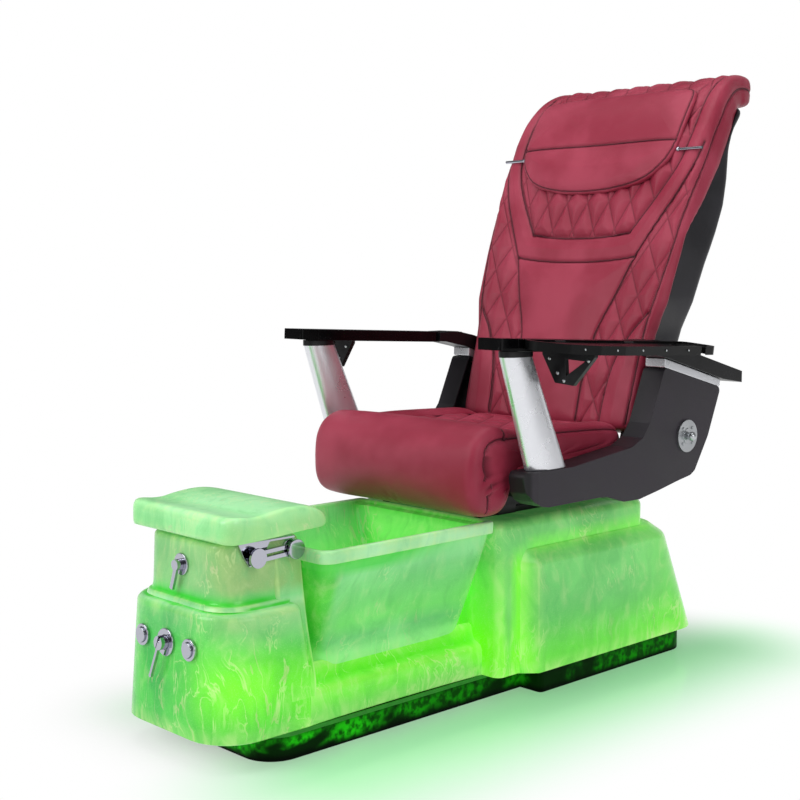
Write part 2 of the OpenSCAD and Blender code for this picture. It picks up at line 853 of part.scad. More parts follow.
// Solid through closed rings of equal length, capped with fans.
module loft(rings) {
    n = len(rings[0]);
    m = len(rings);
    points = [for (r = rings) for (p = r) p];
    centre = function(r) [for (k = [0:2]) [for (p = r) p[k]] * [for (p = r) 1] / len(r)];
    faces = [
        for (i = [0:m - 2], j = [0:n - 1])
            let (a = i * n + j, b = i * n + (j + 1) % n, c = a + n, d = b + n) each [[a, c, b], [b, c, d]]
    ];
    first = [for (j = [0:n - 1]) [n * m, j, (j + 1) % n]];
    last = [for (j = [0:n - 1]) [n * m + 1, (m - 1) * n + (j + 1) % n, (m - 1) * n + j]];
    polyhedron(concat(points, [centre(rings[0]), centre(rings[m - 1])]), concat(faces, first, last), 6);
}

// Interpolates the second column of a table at x.
function table_at(t, x) =
    x <= t[0][0] ? t[0][1] :
    x >= t[len(t) - 1][0] ? t[len(t) - 1][1] :
    [for (i = [0:len(t) - 2]) if (x >= t[i][0] && x < t[i + 1][0])
        t[i][1] + (t[i + 1][1] - t[i][1]) * (x - t[i][0]) / (t[i + 1][0] - t[i][0])][0];

// Seat cushion: front roll that hangs before the pan, well behind it, crowned.
seat_profile = [
    [cushion_y0 + 30, cushion_z - roll_drop + 4], [cushion_y0 + 4, cushion_z - roll_drop + 46],
    [cushion_y0, cushion_z + 40], [cushion_y0 + 10, cushion_z + cushion_t * 0.86],
    [cushion_y0 + 50, cushion_top + 16], [cushion_y0 + 96, cushion_top + 20],
    [cushion_y0 + 140, cushion_top + 6], [cushion_y0 + 190, cushion_top - 6],
    [cushion_y1 - 180, cushion_top - 8], [cushion_y1 - 60, cushion_top - 4],
    [cushion_y1 - 12, cushion_top - 16], [cushion_y1, cushion_z + 40], [cushion_y1 - 10, cushion_z + 4],
    [cushion_y1 - 60, cushion_z], [cushion_y1 - 200, cushion_z], [seat_y + 60, cushion_z],
    [seat_y + 4, cushion_z], [seat_y - 8, cushion_z - 8], [seat_y - 22, cushion_z - roll_drop + 10],
    [seat_y - 50, cushion_z - roll_drop]
];

module seat_cushion() {
    half = seat_w / 2;
    ring = closed_spline(seat_profile, 2);
    mid_y = (cushion_y0 + cushion_y1) / 2;
    mid_z = cushion_z + cushion_t * 0.45;
    stations = [-1, -0.985, -0.94, -0.87, -0.76, -0.6, -0.35, 0, 0.35, 0.6, 0.76, 0.87, 0.94, 0.985, 1];
    edge = function(u) 26 * (1 - sqrt(max(0, 1 - pow(max(0, abs(u) - 0.8) / 0.2, 2))));
    well = function(p, u) p[1] < cushion_top - 30 ? 0 :
        (p[0] > cushion_y0 + 130 ? -12 * (1 - pow(u, 4)) : 3 * (1 - u * u));
    color("#8f3446") loft([
        for (u = stations) [
            for (p = ring)
                let (q = [mid_y, max(min(p[1], cushion_top - 30), cushion_z + 20)], d = p - q, s = norm(d),
                    k = s > 0 ? max(0, s - edge(u)) / s : 0, r = q + d * k,
                    low = p[1] <= cushion_z + 0.01 && p[0] > seat_y)
                [
                    u * half, p[0] + (r[0] - p[0]) * 0.8,
                    low ? p[1] + edge(u) * 0.4 : p[1] + (r[1] - p[1]) * 0.5 + well(p, u)
                ]
        ]
    ]);
}

// --------------------------------------------------- side shells, arms

// Plan of the side shell: its outer front corner is well rounded.
module shell_plan(inset) {
    r = 30 - inset;
    x1 = shell_x + shell_t - inset;
    y0 = seat_y - 36 + inset;
    linear_extrude(900) hull() {
        translate([x1 - r, y0 + r]) circle(r);
        translate([shell_x - 2, y0]) square([1, 1]);
        translate([shell_x - 2, seat_y + 800]) square([x1 - shell_x + 2, 1]);
    }
}

module shell_shape(inset) {
    translate([seat_y, rear_top]) offset(12 - inset) offset(-12) polygon(shell_outline);
}

module side_shell(side) {
    color("#353336") mirror([side < 0 ? 1 : 0, 0, 0]) difference() {
        intersection() {
            along_x(shell_x, shell_x + shell_t) shell_shape(0);
            shell_plan(0);
        }
        intersection() {
            along_x(shell_x - 1, shell_x + shell_t - cover_wall) shell_shape(cover_wall);
            shell_plan(cover_wall);
        }
    }
}

module side_shell_left() { side_shell(1); }
module side_shell_right() { side_shell(-1); }

module arm_supports() {
    x = shell_x + 10;
    bar = 26;
    z = frame_z + frame_tube;
    wall_x = shell_x + shell_t - cover_wall;
    under = 0.2 + cover_wall / cos(upright_slope);
    color("#2a2c2e") both_sides() {
        translate([x, seat_y + 30, z]) cube([bar, 420, frame_h - frame_tube]);
        along_x(x, x + bar) translate([seat_y, 0]) polygon([
            [410, z], [470, z], [560, rear_top + upright_z(560) - under], [515, rear_top + upright_z(515) - under]
        ]);
        translate([x, post_y - 18, z]) cube([bar, 36, rear_top + deck_z - cover_wall - z]);
        for (p = [[120, z + 9], [430, z + 9], [515, rear_top + 240]])
            rod_x([x + bar - 1, seat_y + p[0], p[1]], 7, wall_x - x - bar + 1);
    }
}

// Post: oval section that leans forward and narrows upwards.
module arm_posts() {
    foot_len = post_len * 1.36;
    color("#d6d8dc") both_sides() hull() {
        translate([arm_mid_x, post_y, post_z]) linear_extrude(1) scale([1, foot_len / post_t / 1.1])
            circle(d = post_t * 1.1);
        translate([arm_mid_x, post_top_y, post_top_z - 1]) linear_extrude(1) scale([1, post_len / post_t])
            circle(d = post_t);
    }
}

module post_collars() {
    section = post_t + 6;
    color("#17181a") both_sides() difference() {
        translate([arm_mid_x, post_top_y, post_top_z]) linear_extrude(collar_h + 10)
            scale([1, (post_len + 6) / section]) circle(d = section);
        on_arm() translate([arm_x - 1, -100, -slide_gap]) cube([beam_w + 2, 200, 40]);
    }
}

// Arm space: sloped towards the rear, with its origin on the beam's lower
// face above the post.
module on_arm() {
    translate([0, arm_ref_y, arm_ref_z]) rotate([-arm_slope, 0, 0]) children();
}

module trim_plates() {
    x0 = shell_x + 2;
    p = upright_top[0];
    q = upright_top[1];
    color("#c9ccd2") both_sides() along_x(x0, shell_x + shell_t - 1) translate([seat_y, rear_top]) polygon([
        p + [1, 0.5], q + [-2, 0.9], q + [0, trim_t - 2], p + [2, trim_t]
    ]);
}

module arm_tails() {
    x0 = arm_x;
    p = upright_top[0] + [seat_y, rear_top + trim_t];
    q = upright_top[1] + [seat_y, rear_top + trim_t];
    ear = 10;
    color("#222224") both_sides() {
        difference() {
            along_x(x0, x0 + beam_w) polygon([
                [arm_pivot_y + 16, arm_pivot_z - 13], p + [2, 1], q + [0, -1], q + [84, -14], q + [84, 14],
                p + [14, 34], [arm_pivot_y + 60, arm_pivot_z + 13], [arm_pivot_y + 16, arm_pivot_z + 13]
            ]);
            rod_x([x0 - 1, arm_pivot_y, arm_pivot_z], beam_t / 2 + tail_gap + 3, beam_w + 2);
        }
        for (x = [x0, x0 + beam_w - ear]) difference() {
            along_x(x, x + ear) polygon([
                [arm_pivot_y - 8, arm_pivot_z - 11], [arm_pivot_y + 22, arm_pivot_z - 11],
                [arm_pivot_y + 22, arm_pivot_z + 11], [arm_pivot_y - 8, arm_pivot_z + 11]
            ]);
        }
        rod_x([x0 + 1, arm_pivot_y, arm_pivot_z], arm_pin_r, beam_w - 2);
    }
}

module arm_beam(side) {
    ear = 10 + slide_gap;
    len = arm_len;
    y0 = -(arm_ref_y - nose_y);
    color("#0e0e10") mirror([side < 0 ? 1 : 0, 0, 0]) on_arm() difference() {
        union() {
            translate([arm_x, y0, 0]) cube([beam_w, len - y0 - 22, beam_t]);
            translate([arm_x + ear, len - 30, 0]) cube([beam_w - 2 * ear, 30, beam_t]);
            rod_x([arm_x + ear, len, beam_t / 2], beam_t / 2, beam_w - 2 * ear);
        }
        rod_x([arm_x, len, beam_t / 2], arm_pin_r + run_gap, beam_w);
    }
}

module arm_beam_left() { arm_beam(1); }
module arm_beam_right() { arm_beam(-1); }

module arm_nose(side) {
    y1 = nose_y - arm_ref_y;
    color("#0e0e10") mirror([side < 0 ? 1 : 0, 0, 0]) on_arm() intersection() {
        translate([arm_x + beam_w / 2, 0, 0]) slab(0, beam_t, beam_w / 2, y1 - nose_len, y1, 10, 0);
        along_x(arm_x, arm_x + beam_w) polygon([
            [y1 - nose_len, 2], [y1, 0], [y1, beam_t], [y1 - nose_len + 4, beam_t]
        ]);
    }
}

module arm_nose_left() { arm_nose(1); }
module arm_nose_right() { arm_nose(-1); }

// Tray plan from its hinge edge: the outer edge is bowed.
module tray_plan() {
    y0 = tray_y0 - arm_ref_y;
    round = 24;
    offset(round) offset(-round) polygon([
        [0, y0], [tray_w * 0.36, y0 + 4], [tray_w * 0.8, y0 + 60], [tray_w * 0.97, y0 + 130], [tray_w, y0 + 210],
        [tray_w * 0.94, y0 + 330], [tray_w * 0.88, y0 + 440], [tray_w * 0.84, y0 + tray_len], [0, y0 + tray_len]
    ]);
}

cup_y = tray_y0 - arm_ref_y + tray_len - 62;

module on_tray() {
    on_arm() translate([tray_x, 0, beam_t]) rotate([0, tray_slope, 0]) translate([0, 0, -tray_t]) children();
}

module tray(side) {
    color("#0b0b0d") mirror([side < 0 ? 1 : 0, 0, 0]) on_tray() difference() {
        union() {
            translate([0, 0, 0]) linear_extrude(tray_t) tray_plan();
        }
        translate([0, 0, tray_t - 5]) linear_extrude(6) offset(-9) tray_plan();
        translate([tray_w * 0.5, cup_y, -1]) cylinder(h = tray_t + 2, r = cup_r);
        along_y(tray_y0 - arm_ref_y - 1, tray_y0 - arm_ref_y + tray_len + 1)
            polygon([[-1, tray_t - 4], [4, tray_t + 1], [-1, tray_t + 1]]);
        for (y = knuckle_at) translate([-1, y - knuckle_len / 2 - 1, -1])
            cube([hinge_at[0] + knuckle_r + 2, knuckle_len + 2, tray_t + 2]);
        for (y = knuckle_at) rod_y([hinge_at[0], y - pin_len / 2, hinge_at[1]], hinge_r + run_gap, pin_len);
    }
}

module tray_left() { tray(1); }
module tray_right() { tray(-1); }

// V bracket that hangs under the beam and props the tray, with the tray's
// hinge knuckles and pins.
module tray_bracket(side) {
    y0 = bracket_y - arm_ref_y;
    reach = tray_w * 0.84;
    under = function(x) beam_t - tray_t / cos(tray_slope) - x * tan(tray_slope) - slide_gap;
    color("#101012") mirror([side < 0 ? 1 : 0, 0, 0]) {
        on_arm() difference() {
            along_y(y0, y0 + bracket_t) polygon([
                [arm_x + 24, 0], [arm_x + 24, -6], [arm_x + 62, -66], [arm_x + 112, -70],
                [tray_x + reach, under(reach) - 6], [tray_x + reach, under(reach)], [tray_x + 26, under(26)],
                [tray_x + 20, under(26) - 5], [tray_x + 3, 0]
            ]);
            along_y(y0 - 1, y0 + bracket_t + 1) polygon([
                [arm_x + 88, -14], [arm_x + 92, -50], [tray_x + tray_w * 0.62, -17]
            ]);
        }
        on_tray() for (y = knuckle_at) {
            rod_y([hinge_at[0], y - knuckle_len / 2, hinge_at[1]], knuckle_r, knuckle_len);
            rod_y([hinge_at[0], y - pin_len / 2 + 1, hinge_at[1]], hinge_r, pin_len - 2);
            translate([-1.15, y - knuckle_len / 2, hinge_at[1] - 3.5]) cube([hinge_at[0] + 1, knuckle_len, 6]);
        }
    }
}

module tray_bracket_left() { tray_bracket(1); }
module tray_bracket_right() { tray_bracket(-1); }

module purse_hooks() {
    x = shell_x + shell_t;
    y = seat_y + 535;
    z = rear_top + 159;
    color("#d8dbdf") both_sides() {
        rod_x([x, y, z], hook_r, 5);
        rod_x([x + 5, y, z], 19, 2);
        rod_x([x + 7, y, z], 7, 8);
        translate([x + 16, y, z]) sphere(r = 11);
        for (a = [45:90:315]) rod_x([x + 5, y + 26 * cos(a), z + 26 * sin(a)], 4, 2.5);
    }
}

// ------------------------------------------------------------ backrest

// Offset point of the front line: index i, depth d behind the face.
function line_tangent(i) =
    let (a = back_line[max(0, i - 1)], b = back_line[min(len(back_line) - 1, i + 1)], v = b - a) v / norm(v);
function back_point(i, d) = back_line[i] + [line_tangent(i)[1], -line_tangent(i)[0]] * d;

module on_back() {
    translate([0, pivot_y - back_ref[0], pivot_z - back_ref[1]]) children();
}

module back_cushion() {
    steps = 40;
    grooves = function(x, w) exp(-pow((abs(x) / w - 0.64) / 0.035, 2)) * 7;
    wings = function(x, w) 10 * pow(abs(x) / w, 2);
    ring = function(i) let (
        w = table_at(back_half, back_line[i][1]), tip = i == 0 || i == len(back_line) - 1, t = back_t * (tip ? 0.6 : 1)
    ) [
        for (k = [0:steps - 1]) let (
            a = -360 * k / steps,
            x = w * (tip ? 0.94 : 1) * sign(cos(a)) * pow(abs(cos(a)), 0.42),
            s = sign(sin(a)) * pow(abs(sin(a)), 0.55),
            d = t / 2 - s * t / 2 + (s > 0.2 ? grooves(x, w) - wings(x, w) * 0.4 : 0),
            q = back_point(i, d)
        ) [x, q[0], q[1]]
    ];
    color("#96394b") on_back() loft([for (i = [0:len(back_line) - 1]) ring(i)]);
}

// Rear line of the shell, from foot to top.
back_rear = [
    [560, 640], [612, 805], [640, 900], [675, 985], [714, 1060], [741, 1126], [752, 1190], [755, 1250], [760, 1296],
    [774, 1320], [794, 1336], [807, 1349], [811, 1358], [803, 1366], [788, 1365]
];

// Shell's outline in Y and Z; the inset one opens towards the cushion.
module shell_side(inset) {
    n = len(back_line);
    front = back_t + 1 - 2 * inset;
    offset(-inset) polygon(concat(
        [for (i = [0:n - 3]) back_point(i, front)],
        [for (i = [len(back_rear) - 1:-1:0]) back_rear[i]]
    ));
}

module shell_front(inset) {
    offset(-inset) polygon(concat(
        [for (p = back_half) if (p[0] < 1400) [p[1] - 8, p[0]]], [[230, 1400], [-230, 1400]],
        [for (i = [len(back_half) - 1:-1:0]) if (back_half[i][0] < 1400) [8 - back_half[i][1], back_half[i][0]]]
    ));
}

module back_shell() {
    boss_r = 11;
    color("#2f2d31") on_back() {
        difference() {
            intersection() {
                along_x(-back_half_w, back_half_w) shell_side(0);
                along_y(380, 900) shell_front(0);
            }
            intersection() {
                along_x(-back_half_w, back_half_w) shell_side(back_wall);
                along_y(380, 900) shell_front(back_wall);
            }
            both_sides() translate([side_plate_x - 6, 460, 590]) cube([18, 90, 90]);
        }
        intersection() {
            along_x(-back_half_w, back_half_w) difference() {
                shell_side(0);
                board_strip(0, board_t + 0.2);
            }
            for (s = [-1, 1], z = [840, 1080]) rod_y([s * 190, 440, z], boss_r, 400);
        }
    }
}

// Strip that follows the front line between two depths behind it.
module board_strip(i0, depth) {
    n = len(back_line);
    polygon(concat(
        [for (i = [i0:n - 4]) back_point(i, back_t)],
        [for (i = [n - 4:-1:i0]) back_point(i, back_t + depth)]
    ));
}

module back_board() {
    color("#8a6f4c") on_back() difference() {
        along_x(-252, 252) board_strip(1, board_t);
        for (s = [-1, 1]) translate([s * roller_x - 17, 400, 800]) cube([34, 300, 340]);
    }
}

// Point of the carriage's track: s along it, d behind the front line.
track_foot = back_line[2];
track_lean = 19;
function track(s, d) =
    track_foot + s * [sin(track_lean), cos(track_lean)] + d * [cos(track_lean), -sin(track_lean)];

module on_track(s, d) {
    p = track(s, d);
    translate([0, p[0], p[1]]) rotate([-track_lean, 0, 0]) children();
}

module back_frame() {
    plate = 6;
    x = side_plate_x;
    n = len(back_line);
    foot = back_ref;
    tube = 24;
    color("#33363a") on_back() {
        both_sides() {
            along_x(x, x + plate) polygon(concat(
                [for (i = [1:n - 5]) back_point(i, back_t + board_t)],
                [for (i = [n - 5:-1:1]) back_point(i, back_t + board_t + 34)],
                [
                    foot + [82, 52], foot + [26, -8], foot + [16, -24], foot + [-16, -24], foot + [-26, 0],
                    foot + [-18, 22], foot + [8, 26], foot + [42, 40], foot + [54, 80]
                ]
            ));
            rod_x([x, foot[0], foot[1]], recline_pin_r + 8, upstand_x - 1 - x);
            rod_x([x, foot[0], foot[1]], recline_pin_r, upstand_x + upstand_t - x);
        }
        for (s = [-30, track_len + 6])
            on_track(s, track_d - tube / 2) translate([-x - 1, 0, 0]) cube([2 * x + 2, tube, tube]);
        on_track(-140, track_d - 10) translate([-x - 1, 0, 0]) cube([2 * x + 2, tube, tube]);
        for (s = [-1, 1])
            on_track(-10, track_d) translate([s * track_rail_x, 0, 0]) cylinder(h = track_len + 20, r = rail_r);
        on_track(-10, track_d) cylinder(h = track_len + 20, r = track_screw_r);
    }
}

module head_pillow() {
    half = [[1148, 60], [1156, 132], [1175, 172], [1200, 200], [1240, 232], [1280, 240], [1320, 238], [1390, 214]];
    rows = [1148, 1156, 1175, 1200, 1240, 1280, 1320, 1360, 1384, 1394];
    face = function(z) [for (i = [0:len(back_line) - 2])
        if (z >= back_line[i][1] && z < back_line[i + 1][1])
            back_line[i][0] + (back_line[i + 1][0] - back_line[i][0]) * (z - back_line[i][1])
                / (back_line[i + 1][1] - back_line[i][1])][0];
    steps = 24;
    fat = function(z) let (u = (z - 1270) / 126) pillow_t * sqrt(max(0.02, 1 - pow(abs(u), 3.2)));
    color("#8f3446") on_back() loft([
        for (z = rows) let (w = table_at(half, z), t = fat(z)) [
            for (k = [0:steps - 1]) let (
                a = -360 * k / steps, x = w * sign(cos(a)) * pow(abs(cos(a)), 0.5),
                s = sign(sin(a)) * pow(abs(sin(a)), 0.6), d = 3.5 + t / 2 + s * t / 2
            ) [x, face(z) - d * 0.93, z + d * 0.36]
        ]
    ]);
}

module pillow_bars() {
    color("#dfe2e6") on_back() both_sides() {
        rod_x([230, 622, 1262], 4, 86);
        translate([247, 622, 1262]) sphere(r = 7);
    }
}

module massage_carriage() {
    half = track_rail_x + 20;
    length = 90;
    pocket = roller_w / 2 + 1;
    color("#4a4e52") on_back() on_track(carriage_at, track_d) {
        difference() {
            translate([-half, -14, 0]) cube([2 * half, 28, length]);
            for (s = [-1, 1]) translate([s * track_rail_x, 0, -1]) cylinder(h = length + 2, r = rail_r + run_gap);
            translate([0, 0, -1]) cylinder(h = length + 2, r = track_screw_r + slide_gap);
            for (s = [-1, 1]) translate([s * roller_x - pocket, -30, length / 2 - roller_r - 2])
                cube([2 * pocket, 60, 2 * roller_r + 4]);
        }
        for (s = [-1, 1]) rod_x([s * roller_x - pocket - 1, -4, length / 2], axle_r, 2 * pocket + 2);
    }
}

module massage_rollers() {
    color("#d8d2c2") on_back() on_track(carriage_at, track_d) for (s = [-1, 1]) difference() {
        rod_x([s * roller_x - roller_w / 2, -4, 45], roller_r, roller_w);
        rod_x([s * roller_x - roller_w, -4, 45], axle_r + run_gap, 2 * roller_w);
    }
}

plinth();
led_strip();
front_tower();
footrest_column();
tub_skirt();
rear_housing();
tub_basin();
drain_fitting();
jet_housing();
jet_motor();
fill_spout();
mixer_escutcheon();
mixer_cartridge();
drain_escutcheon();
button_bezels();
button_switches();
footrest_clamps();
footrest_bumpers();
seat_rails();
slide_screw();
jet_impeller();
drain_stopper();
mixer_hub();
mixer_lever();
drain_lever();
button_left();
button_right();
link_bars_upper();
link_bars_lower();
footrest_pad();
footrest_brackets();
seat_frame();
slide_blocks();
slide_drive();
seat_pan();
seat_cushion();
side_shell_left();
side_shell_right();
arm_supports();
arm_posts();
post_collars();
trim_plates();
arm_tails();
purse_hooks();
back_frame();
back_board();
back_shell();
back_cushion();
head_pillow();
pillow_bars();
massage_carriage();
massage_rollers();
arm_beam_left();
arm_beam_right();
arm_nose_left();
arm_nose_right();
tray_left();
tray_right();
tray_bracket_left();
tray_bracket_right();
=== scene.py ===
"""Looks of a pedicure spa chair: a glowing resin tub with an upholstered massage seat on it.

Sizes are in millimetres in the row frame and become metres where a mesh is made.
"""

import json
import logging
import math
from collections.abc import Callable, Sequence
from dataclasses import dataclass, field
from enum import Enum

import bmesh
import bpy
import numpy as np
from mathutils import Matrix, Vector
from mathutils.kdtree import KDTree

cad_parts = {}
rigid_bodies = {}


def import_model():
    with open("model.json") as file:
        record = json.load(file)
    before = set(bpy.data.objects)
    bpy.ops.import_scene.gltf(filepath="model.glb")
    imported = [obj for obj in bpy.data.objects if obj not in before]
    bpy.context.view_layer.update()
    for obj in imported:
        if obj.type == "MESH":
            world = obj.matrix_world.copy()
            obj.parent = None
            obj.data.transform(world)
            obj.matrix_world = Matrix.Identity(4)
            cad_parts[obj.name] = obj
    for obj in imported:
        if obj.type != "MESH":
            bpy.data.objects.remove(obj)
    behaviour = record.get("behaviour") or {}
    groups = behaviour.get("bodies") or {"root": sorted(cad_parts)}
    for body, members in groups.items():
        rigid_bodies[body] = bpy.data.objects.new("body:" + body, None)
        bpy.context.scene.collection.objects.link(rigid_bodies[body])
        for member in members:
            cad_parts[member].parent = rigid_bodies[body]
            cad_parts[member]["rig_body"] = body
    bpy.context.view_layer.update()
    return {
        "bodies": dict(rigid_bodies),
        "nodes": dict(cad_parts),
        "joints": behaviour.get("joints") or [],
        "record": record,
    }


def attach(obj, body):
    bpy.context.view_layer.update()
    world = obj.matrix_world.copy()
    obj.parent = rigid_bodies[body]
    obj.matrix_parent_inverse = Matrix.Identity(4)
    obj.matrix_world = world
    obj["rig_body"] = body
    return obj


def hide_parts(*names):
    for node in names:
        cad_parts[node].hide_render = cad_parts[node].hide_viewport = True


log = logging.getLogger("chair")

MM = 0.001
OFF_CHART = -1000.0  # V of cloth that carries no quilting
ON_CHART = -900.0  # V above this is on the chart

Tree = bpy.types.NodeTree
Node = bpy.types.Node
Socket = bpy.types.NodeSocket
Piece = bpy.types.Object
Triple = tuple[float, float, float]
Pair = tuple[float, float]
Ring = np.ndarray
Skin = tuple[np.ndarray, list]
Shares = Callable[[np.ndarray], np.ndarray]


# ------------------------------------------------------------------ finishes

# Inputs that a node's values go to where they aren't its first ones in order, the output
# that it gives where that isn't its first one, and the settings that all such nodes share.
INPUTS = {"Mix": (0, 6, 7), "TexNoise": ("Vector", "Scale", "Detail", "Distortion")}
RESULT = {"Mix": 2}
USUAL = {"Mix": {"data_type": "RGBA"}, "MapRange": {"interpolation_type": "SMOOTHSTEP"}}


def linear(hex_colour: str) -> tuple[float, float, float, float]:
    """Turns six hex digits of an sRGB colour into the linear colour that a shader takes."""
    parts = [int(hex_colour[i : i + 2], 16) / 255 for i in (0, 2, 4)]
    red, green, blue = (c / 12.92 if c <= 0.04045 else ((c + 0.055) / 1.055) ** 2.4 for c in parts)
    return red, green, blue, 1.0


def fit(tree: Tree, socket: Socket, value: object) -> None:
    """Links the input to a socket or sets it to a constant."""
    if isinstance(value, Socket):
        tree.links.new(value, socket)
    else:
        socket.default_value = value


def add(tree: Tree, kind: str, *values: object, out: int | str = 0, **settings: object) -> Socket | None:
    """Adds a node, sets its properties, and sets or links its inputs.

    Args:
        tree: The node tree that gets the node.
        kind: The node's type, for a shader node without its prefix, with an operation after a dot.
        *values: Values or sockets for the inputs in order, or one dict that names them.
        out: Name or number of the output that is returned.
        **settings: Properties of the node.

    Returns:
        The output, or None where the node has none.
    """
    name, _, operation = kind.partition(".")
    node = tree.nodes.new(name if "Node" in name else f"ShaderNode{name}")
    if operation:
        node.operation = operation
    for key, value in (USUAL.get(name, {}) | settings).items():
        setattr(node, key, value)
    named = values[0] if values and isinstance(values[0], dict) else dict(zip(INPUTS.get(name, range(9)), values))
    for key, value in named.items():
        fit(tree, node.inputs[key], value)
    return node.outputs[RESULT.get(name, out)] if node.outputs else None


def wire(tree: Tree, node: Node, **inputs: object) -> None:
    """Sets or links a node's inputs, named with underscores for spaces."""
    for name, value in inputs.items():
        fit(tree, node.inputs[name.replace("_", " ")], value)


def place(tree: Tree, scale: Triple = (1, 1, 1)) -> Socket:
    """Object coordinates in metres, scaled."""
    return add(tree, "Mapping", {"Vector": add(tree, "TexCoord", out="Object"), "Scale": scale})


@dataclass(frozen=True)
class Finish:
    """A procedural material, made once and shared by its pieces."""

    name: str

    def dress(self, tree: Tree, shader: Node) -> None:
        """Builds the nodes round the shader."""
        raise NotImplementedError

    def build(self) -> bpy.types.Material:
        """Makes the material, or returns the one made before."""
        made = bpy.data.materials.get(self.name)
        if made is None:
            made = bpy.data.materials.new(self.name)
            made.use_nodes = True
            self.dress(made.node_tree, made.node_tree.nodes["Principled BSDF"])
        return made

    def apply(self, obj: Piece) -> None:
        """Gives the object this material alone."""
        obj.data.materials.clear()
        obj.data.materials.append(self.build())


@dataclass(frozen=True)
class CrystalResin(Finish):
    """Pearlescent glass-fibre resin, lit green from inside.

    Cloudy mica and thin pale streaks run through a clear green shell. Its glow from
    inside is painted, as lime colour and emission that are brightest where the light
    strip is near; it is milky mint further up, and has painted highlights along its
    rounded edges and painted light in its creases.
    """

    name: str = "crystal_resin_green"
    deep: str = "17ad3c"
    mid: str = "46cd45"
    # painted glow colour of the light from inside
    lime: str = "74ef1a"
    mint: str = "b4f3bb"
    olive: str = "97ba70"
    vein: str = "eaf0b4"
    blush: str = "d8b9a2"
    shadow: str = "1c9a3c"
    mica: str = "f4ffdc"
    # painted light colour, deep saturated green, in concave creases
    crease: str = "22d412"
    # painted highlight colour along rounded edges
    rim: str = "cdf29a"

    def streaks(self, tree: Tree, at: Socket, turn: Triple, scale: float, width: float) -> Socket:
        """Thin ridges drawn out along one direction."""
        long = add(tree, "Mapping", {"Vector": at, "Rotation": turn, "Scale": (1.0, 1.0, 0.16)})
        ridge = add(tree, "Math.SUBTRACT", add(tree, "TexNoise", long, scale, 6.0, 0.35), 0.5)
        return add(tree, "MapRange", add(tree, "Math.ABSOLUTE", ridge), width, 0.0)

    def dress(self, tree: Tree, shader: Node) -> None:
        """Layers clouds, painted glow, wisps, mica, painted crease light, veins and painted edge highlights."""
        flat = place(tree)
        bend = add(tree, "TexNoise", flat, 3.4, 3.0, out="Color")
        push = add(tree, "VectorMath.SUBTRACT", bend, (0.5, 0.5, 0.5))
        push = add(tree, "VectorMath.SCALE", {0: push, "Scale": 0.26})
        swirl = add(tree, "VectorMath.ADD", flat, push)
        cloud = add(tree, "TexNoise", swirl, 5.5, 6.0, 0.4)
        long = add(tree, "Mapping", {"Vector": swirl, "Rotation": (0.7, 0.35, 0.0), "Scale": (1.0, 0.8, 0.34)})
        wisps = add(tree, "TexNoise", long, 40.0, 6.0, 0.5)
        grain = add(tree, "TexNoise", flat, 430.0, 2.0)
        glow, milk, edge, olive, crease = (
            add(tree, "Attribute", out="Fac", attribute_name=name)
            for name in ("glow", "milk", "edge", "olive", "crease")
        )
        green = add(tree, "Mix", add(tree, "MapRange", cloud, 0.34, 0.62), linear(self.deep), linear(self.mid))
        for share, colour in (
            (add(tree, "Math.MULTIPLY", milk, add(tree, "MapRange", cloud, 0.25, 0.7, 0.6, 1.0)), self.mint),
            # painted glow: lime where the light from inside is strong
            (glow, self.lime),
            (add(tree, "Math.MULTIPLY", olive, add(tree, "MapRange", wisps, 0.3, 0.6, 0.6, 0.9)), self.olive),
            (add(tree, "MapRange", wisps, 0.5, 0.76, 0.0, 0.16), self.vein),
            (add(tree, "MapRange", wisps, 0.5, 0.28, 0.0, 0.14), self.shadow),
            (add(tree, "MapRange", grain, 0.52, 0.72, 0.0, 0.07), self.mica),
            # painted light in concave creases
            (add(tree, "Math.MULTIPLY", crease, 0.85), self.crease),
        ):
            green = add(tree, "Mix", share, green, linear(colour))
        leaning = self.streaks(tree, swirl, (0.62, 0.0, 0.0), 30.0, 0.022)
        upright = self.streaks(tree, swirl, (-0.2, 0.5, 0.3), 46.0, 0.03)
        here = add(tree, "MapRange", add(tree, "TexNoise", flat, 4.5, 3.0), 0.53, 0.63)
        there = add(tree, "MapRange", add(tree, "TexNoise", flat, 7.0, 3.0, 0.4), 0.54, 0.66, 0.0, 0.8)
        first, second = add(tree, "Math.MULTIPLY", leaning, here), add(tree, "Math.MULTIPLY", upright, there)
        veins = add(tree, "Math.MULTIPLY", add(tree, "Math.MAXIMUM", first, second), 0.38)
        blush = add(tree, "MapRange", add(tree, "TexNoise", swirl, 9.0, 3.0), 0.5, 0.7)
        pearl = add(tree, "Mix", blush, linear(self.vein), linear(self.blush))
        # painted highlights along convex rounded edges
        edge_highlight = add(tree, "Math.MULTIPLY", edge, add(tree, "MapRange", wisps, 0.35, 0.65, 0.16, 0.46))
        shade = add(tree, "Mix", edge_highlight, add(tree, "Mix", veins, green, pearl), linear(self.rim))
        bump = {"Height": add(tree, "TexNoise", flat, 60.0, 2.0), "Strength": 0.04, "Distance": 0.002}
        wire(
            tree, shader, Base_Color=shade, Emission_Color=shade,
            # painted glow: the resin emits light, faintly everywhere and more where the glow share is high
            Emission_Strength=add(tree, "Math.MULTIPLY_ADD", glow, 0.3, 0.1), Normal=add(tree, "Bump", bump),
            Roughness=0.26, Specular_IOR_Level=0.28, Coat_Weight=0.25, Coat_Roughness=0.06,
        )


